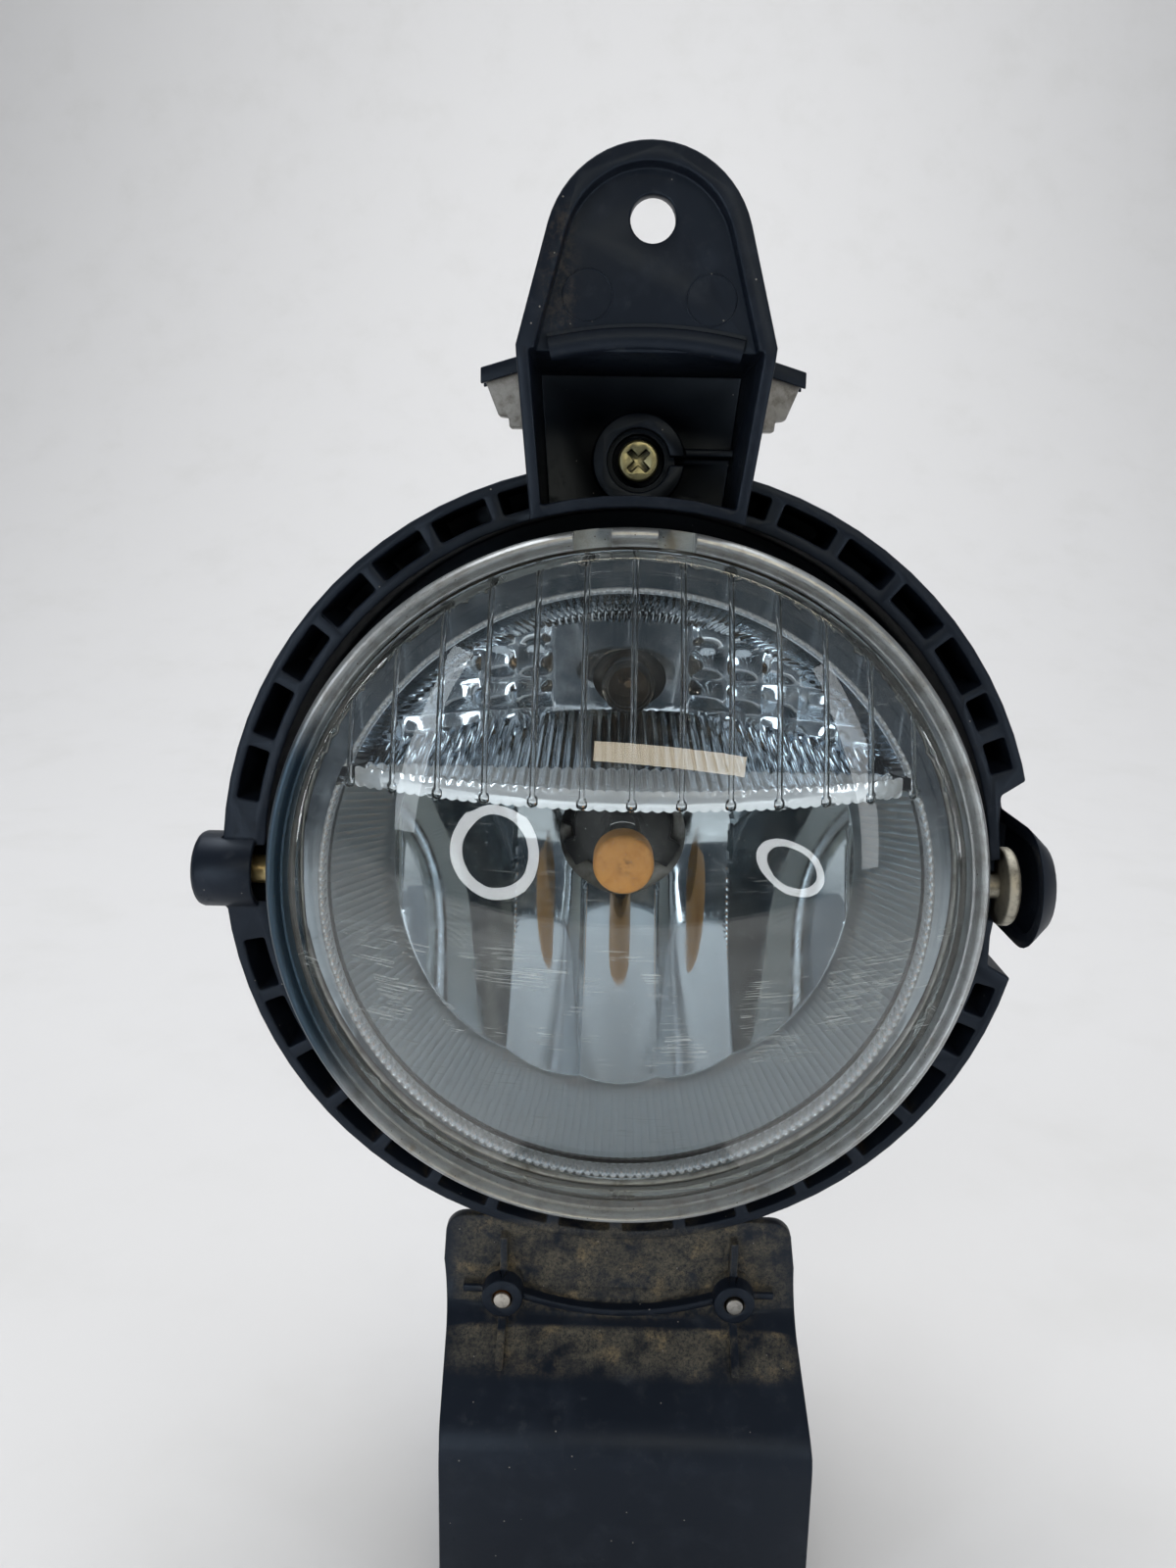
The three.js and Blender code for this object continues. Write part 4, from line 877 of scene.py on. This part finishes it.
def beaded_rim(name, z, above):
    """A thin lip of small beads round the reflectors' mouth, trimmed at a height."""
    radius, back = 54.0, 9.5
    section = [
        (-0.45, back, 0.0), (-0.5, 6.9, 0.35), (-0.3, 6.25, 0.8), (0.0, 5.95, 1.0), (0.35, 6.1, 0.8),
        (0.55, 6.7, 0.3), (0.55, back, 0.0),
    ]
    steps = BOWL_FLUTES * BEAD_STEPS
    points = []
    for shift, y, share in section:
        for j in range(steps):
            angle = 2 * math.pi * j / steps
            wave = abs(math.sin(BOWL_FLUTES * angle / 2))
            r = radius + shift - 0.3 * share * (1 - wave) * (1 if shift > -0.2 else -1)
            points.append((r * math.cos(angle), y + 0.45 * share * (1 - wave), FOG_Z + r * math.sin(angle)))
    rim = outward(from_points(name, points, grid_faces(len(section), steps, around=True, closed=True)))
    dress(rounded(trimmed(rim, z, above), 40), BEAD_CHROME_PAINTED_HIGHLIGHT, "lamp_unit", "chrome")


def flange():
    """The plain sloping ledge between the reflectors' round mouth and the lens's edge."""
    segments = 256
    points = []
    for share in spread(0.0, 1.0, 6):
        for j in range(segments):
            angle = 2 * math.pi * j / segments
            inner = Vector((54.5 * math.cos(angle), 6.6, FOG_Z + 54.5 * math.sin(angle)))
            outer = Vector((56.9 * math.cos(angle), 6.3, 56.9 * math.sin(angle)))
            points.append(tuple(inner.lerp(outer, share)))
    ledge = facing(from_points("reflector_flange", points, grid_faces(7, segments, around=True)), FORWARD)
    thick(ledge, 0.6)
    dress(rounded(ledge, 40), FLANGE_CHROME, "lamp_unit", "chrome")


FORWARD, UP, DOWN = Vector((0, -1, 0)), Vector((0, 0, 1)), Vector((0, 0, -1))


def facing(piece, direction):
    """Turns an open sheet so that its faces look along a direction."""
    if sum(p.normal.dot(direction) * p.area for p in piece.data.polygons) < 0:
        piece.data.flip_normals()
    return piece


# The floor's height at the mouth, and how it climbs to the rear.
CHAMBER_FRONT, CHAMBER_RISE = 21.2, 0.187
CHAMBER_BACK, CHAMBER_CURVE = 36.9, 95.0
CELL_X, CELL_Z = 6.6, 6.1
CELL_BOTTOM = 27.2
CELL_STARTS = (12.2, 14.8)  # where the cells begin, to the right and to the left of the bulb


def chamber_floor(y):
    """The height of the chamber's floor at a depth."""
    return CHAMBER_FRONT + CHAMBER_RISE * (y - 6.0)


def chamber_wall(x):
    """y of the chamber's back wall: it curves forward to the sides."""
    return CHAMBER_BACK - x * x / CHAMBER_CURVE


def pillow(x, z):
    """How far a cell of the parking reflector's back wall swells forward."""
    start = CELL_STARTS[0] if x > 0 else CELL_STARTS[1]
    if abs(x) < start:
        return 0.0
    u = ((abs(x) - start) / CELL_X) % 1.0 * 2 - 1
    v = ((z - CELL_BOTTOM) / CELL_Z) % 1.0 * 2 - 1
    return 0.75 * (1 - u * u) * (1 - v * v)


def parking_reflector():
    """The upper chamber: a curved back wall with pillow cells round a smooth middle, roof and floor."""
    columns = spread(-49.0, 49.0, 196)
    rows = spread(20.0, 50.0, 60)
    points = [(x, chamber_wall(x) - pillow(x, z), z) for z in rows for x in columns]
    back = facing(from_points("chamber_back", points, grid_faces(len(rows), len(columns))), FORWARD)
    thick(back, 1.0)
    room_profile = [[0, 5], [51.4, 5], [51.4, 38.5], [0, 38.5]]
    boolean(back, turned("chamber_room", room_profile, 160, 0, FOG_Z), "INTERSECT")
    opening = turned("bulb_opening", [[0, 30], [7.2, 30], [7.2, 40], [0, 40]], 64)
    opening.data.transform(Matrix.Translation(-lamp(0, 0, 0)))
    opening.data.transform(Matrix.Diagonal((1.0, 1.0, 0.8, 1.0)))
    opening.data.transform(Matrix.Translation(lamp(0.4, 0, PARKING_Z)))
    boolean(back, opening, "DIFFERENCE")

    ridges = 120
    segments = ridges * 12
    points = []
    profile = [
        (46.0, 37.6), (47.4, 36.4), (48.6, 33.5), (49.8, 28), (50.6, 22), (51.3, 16), (52.2, 11),
        (53.4, 8.5),
    ]
    for r, y in profile:
        for j in range(segments + 1):
            angle = math.radians(15 + 150 * j / segments)
            rr = r - 0.4 * abs(math.sin(ridges * angle)) * smoothstep(53.4, 52.0, r)
            points.append((rr * math.cos(angle), y, FOG_Z + rr * math.sin(angle)))
    roof = from_points("chamber_roof", points, grid_faces(len(profile), segments + 1))
    trimmed(roof, 20.0, above=False)
    thick(facing(roof, DOWN), 0.6)
    beaded_rim("chamber_rim", 20.4, above=False)
    piece = joined("parking_chamber", [back, roof, ribbed_floor()])
    return dress(rounded(piece, 24), CHAMBER_CHROME_PAINTED_LIGHT, "lamp_unit", "chrome", "parking_reflector")


def ribbed_floor():
    """The chamber's floor, ribbed from front to back, out to the round walls."""
    columns = spread(-RIB_PITCH * 25, RIB_PITCH * 25, 50 * 8)
    rows = spread(0.0, 1.0, 8)
    half = math.sqrt(51.0 ** 2 - (CHAMBER_FRONT - FOG_Z) ** 2)
    mouth = 6.2
    points = []
    for share in rows:
        for x in columns:
            xx = max(-half, min(half, x))
            y = mouth + (chamber_wall(xx) + 0.3 - mouth) * share
            wave = abs(math.sin(math.pi * xx / RIB_PITCH))
            points.append((xx, y, chamber_floor(y) - 0.55 + 0.5 * wave))
    floor = from_points("chamber_floor", points, grid_faces(len(rows), len(columns)))
    return thick(facing(floor, UP), 0.7)


def bar_front(x):
    """Where the bar's front stands: it bows toward the middle of the lens."""
    return -8.7 + 15.4 * (x / 48) ** 2


def divider():
    """The chrome bar between the chambers: a bowed lip, beaded above and below, with ribs behind it."""
    half = 47.4
    columns = spread(-half, half, 600)
    section = [
        (30.0, 19.3), (1.7, 19.4), (1.1, 20.1), (0.7, 20.35), (0.3, 20.3), (0.08, 19.95), (0.0, 19.2),
        (0.0, 18.2), (0.1, 17.5), (0.35, 17.15), (0.9, 17.05), (1.4, 17.3), (1.6, 17.6), (30.0, 17.6),
    ]
    points = []
    for depth, z in section:
        for x in columns:
            bead = abs(math.sin(math.pi * x / RIB_PITCH))
            lift = 0.0
            if z > 19.9:
                lift = 0.3 * bead - 0.15
            elif z < 17.2:
                lift = -0.35 * bead
            points.append((x, min(bar_front(x) + depth, 34.9), z + lift))
    count = len(columns)
    faces = grid_faces(len(section), count, closed=True)
    faces.append(tuple(i * count for i in range(len(section))))
    faces.append(tuple(i * count + count - 1 for i in reversed(range(len(section)))))
    bar = outward(from_points("chamber_bar", points, faces))

    columns = spread(-RIB_PITCH * 24, RIB_PITCH * 24, 48 * 8)
    points = []
    for share in spread(0.0, 1.0, 8):
        for x in columns:
            start = bar_front(x) + 1.3
            y = start + (6.4 - start) * share
            wave = abs(math.sin(math.pi * x / RIB_PITCH)) * smoothstep(0, 0.12, share)
            points.append((x, y, 19.6 + 1.0 * share + 0.5 * wave))
    ribs = from_points("bar_ribs", points, grid_faces(9, len(columns)))
    thick(facing(ribs, UP), 0.4)
    piece = joined("divider_chrome", [bar, ribs])
    return dress(rounded(piece, 30), BAR_CHROME_PAINTED_LIGHT, "lamp_unit", "chrome", "divider_bar")


# ---------- bulbs ----------

def fog_tip():
    """The coated cap on the fog bulb's front end, open behind."""
    outside = [[0, 26.42], [3.0, 26.40], [5.3, 26.55], [5.8, 26.9], [6.0, 27.5], [6.0, 33]]
    inside = [[5.2, 33], [5.2, 27.8], [4.7, 27.4], [0, 27.3]]
    cup = turned("bulb_tip", outside + inside, 96, 0, FOG_Z)
    return dress(rounded(cup, 50), ORANGE, "fog_bulb", "orange_coating", "fog_bulb_tip")


# ---------- carrier ----------

def swept(name, path, section, closed=False):
    """A strip of one section along a path: section points are (across, forward) from each path point."""
    points = []
    count = len(section)
    for i, (x, y, z) in enumerate(path):
        before = path[i - 1] if closed or i else path[0]
        after = path[(i + 1) % len(path)] if closed or i < len(path) - 1 else path[-1]
        along = Vector((after[0] - before[0], 0, after[2] - before[2])).normalized()
        across = Vector((-along.z, 0, along.x))
        for side, forward in section:
            points.append((x + across.x * side, y - forward, z + across.z * side))
    faces = grid_faces(len(path), count, around=True, closed=closed)
    if not closed:
        faces.append(tuple(range(count)))
        faces.append(tuple((len(path) - 1) * count + i for i in reversed(range(count))))
    return outward(from_points(name, points, faces))


def circle(x, y, z, radius):
    """Points round a circle that faces forward."""
    count = 72
    angles = [2 * math.pi * i / count for i in range(count)]
    return [(x + radius * math.cos(a), y, z + radius * math.sin(a)) for a in angles]


TAB_MIDDLE, TAB_FACE = 1.0, 0.5


def tab_brow():
    """The arched lip where the tab's face rolls into the recess."""
    reach = 15.6
    xs = spread(TAB_MIDDLE - reach, TAB_MIDDLE + reach, 40)
    path = [(x, TAB_FACE, 93.0 - 1.7 * ((x - TAB_MIDDLE) / reach) ** 2) for x in xs]
    section = [
        (0.9, -0.2), (0.85, 0.22), (0.3, 0.3), (0.1, 0.62), (-0.9, 0.95), (-1.9, 0.9), (-2.7, 0.5),
        (-3.1, -0.2), (-3.2, -1.4), (0.0, -1.4),
    ]
    return swept("tab_brow", path, section)


PLATE_BOSS_MIDDLE, PLATE_BOSS_REACH = 0.75, 22.5
PLATE_HOLLOW_Y, PLATE_HOLLOW_Z = -0.8, -80.0  # the centre of the front face's hollow
PLATE_HOLLOW, PLATE_SLOPE = 11.8, math.radians(55)  # the hollow's radius and the slope after it


def plate_front(z):
    """The lower plate's front face, y at a height: flat, then a hollow, then forward down its slope."""
    drop = PLATE_HOLLOW_Z - z
    turn = PLATE_HOLLOW * math.sin(PLATE_SLOPE)
    if drop < turn:
        return PLATE_HOLLOW_Y + math.sqrt(PLATE_HOLLOW ** 2 - drop ** 2)
    return PLATE_HOLLOW_Y + PLATE_HOLLOW * math.cos(PLATE_SLOPE) - (drop - turn) * math.tan(PLATE_SLOPE)


def carrier_details():
    """Small mouldings on the carrier: brow, ejector marks, the plate's two ribs and the collar's step."""
    pieces = [tab_brow()]
    ridge = [(-0.16, -0.1), (-0.1, 0.1), (0.0, 0.14), (0.1, 0.1), (0.16, -0.1)]
    for x, z in ((-8.4, 97.9), (11.1, 97.4)):
        pieces.append(swept("ejector_mark", circle(x, TAB_FACE, z, 3.9), ridge, closed=True))
    for side in (-1, 1):
        x = PLATE_BOSS_MIDDLE + side * PLATE_BOSS_REACH
        rib = [(-0.75, -1.0), (-0.75, 1.6), (-0.5, 1.9), (0.5, 1.9), (0.75, 1.6), (0.75, -1.0)]
        path = [(x, plate_front(z), z) for z in spread(-87.4, -94.2, 12)]
        pieces.append(swept("plate_rib", path, rib))
    step = [[4.6, 29.5], [4.6, 26.6], [4.8, 26.3], [6.6, 26.3], [6.8, 26.6], [6.8, 29.5]]
    pieces.append(turned("collar_step", step, 96, SCREW_X, SCREW_Z))
    piece = joined("carrier_details", pieces)
    return dress(rounded(piece, 35), PLASTIC, "carrier", "black_plastic")


def carrier():
    """The carrier's moulding with its edges rounded."""
    piece = refined("carrier_frame", "carrier_moulding", 0.35)
    return dress(piece, PLASTIC, "carrier", "black_plastic", "carrier_frame")


def carried_over():
    """CAD nodes whose shape is right, with their edges rounded and their own materials."""
    plan = [
        ("plate_insert_left", "carrier", "rusty_zinc", RUSTY_ZINC, 0.15),
        ("plate_insert_right", "carrier", "rusty_zinc", SPRING_STEEL, 0.15),
        ("lamp_housing", "lamp_unit", "cast_grey", CAST, 0.4),
        ("vent_cap", "lamp_unit", "rubber", RUBBER, 0.3),
        ("left_pivot_pin", "lamp_unit", "brass", BRASS, 0.2),
        ("right_pivot_pin", "lamp_unit", "dirty_steel", DIRTY_STEEL, 0.25),
        ("adjuster_bridge", "lamp_unit", "cast_grey", CAST, 0.35),
        ("bridge_cap", "lamp_unit", "black_plastic", PLASTIC, 0.25),
        ("bridge_screw_left", "lamp_unit", "spring_steel", SPRING_STEEL, 0.2),
        ("bridge_screw_right", "lamp_unit", "spring_steel", SPRING_STEEL, 0.2),
        ("adjuster_screw", "screw", "yellow_zinc", YELLOW_ZINC, 0.15),
        ("screw_lock_ring", "screw", "spring_steel", SPRING_STEEL, 0.1),
        ("adjuster_nut", "nut", "nylon", NYLON, 0.3),
        ("fog_bulb_glass", "fog_bulb", "bulb_glass", BULB_GLASS, 0),
        ("fog_bulb_filament", "fog_bulb", "filament_wire", WIRE, 0),
        ("fog_bulb_base", "fog_bulb", "connector_black", CONNECTOR, 0.3),
        ("fog_bulb_seal", "fog_bulb", "rubber", RUBBER, 0.2),
        ("fog_contact_left", "fog_bulb", "tinned_copper", COPPER, 0.12),
        ("fog_contact_right", "fog_bulb", "tinned_copper", COPPER, 0.12),
        ("parking_bulb_glass", "parking_bulb", "bulb_glass", SMOKED_GLASS, 0),
        ("parking_bulb_filament", "parking_bulb", "filament_wire", WIRE, 0),
        ("parking_bulb_holder", "parking_bulb", "connector_black", CONNECTOR, 0.25),
        ("parking_bulb_seal", "parking_bulb", "rubber", RUBBER, 0.2),
        ("parking_contact_left", "parking_bulb", "tinned_copper", COPPER, 0.1),
        ("parking_contact_right", "parking_bulb", "tinned_copper", COPPER, 0.1),
    ]
    for node, body, slot, material, width in plan:
        piece = refined(node, f"{node}_finished", width)
        dress(piece, material, body, slot, node)
        if "glass" in node:
            piece.visible_shadow = False


bpy.context.scene.view_settings.view_transform = "Standard"
camera()
studio()
lens()
bezel()
seal()
main_reflector()
parking_reflector()
divider()
fog_tip()
carrier()
carrier_details()
carried_over()
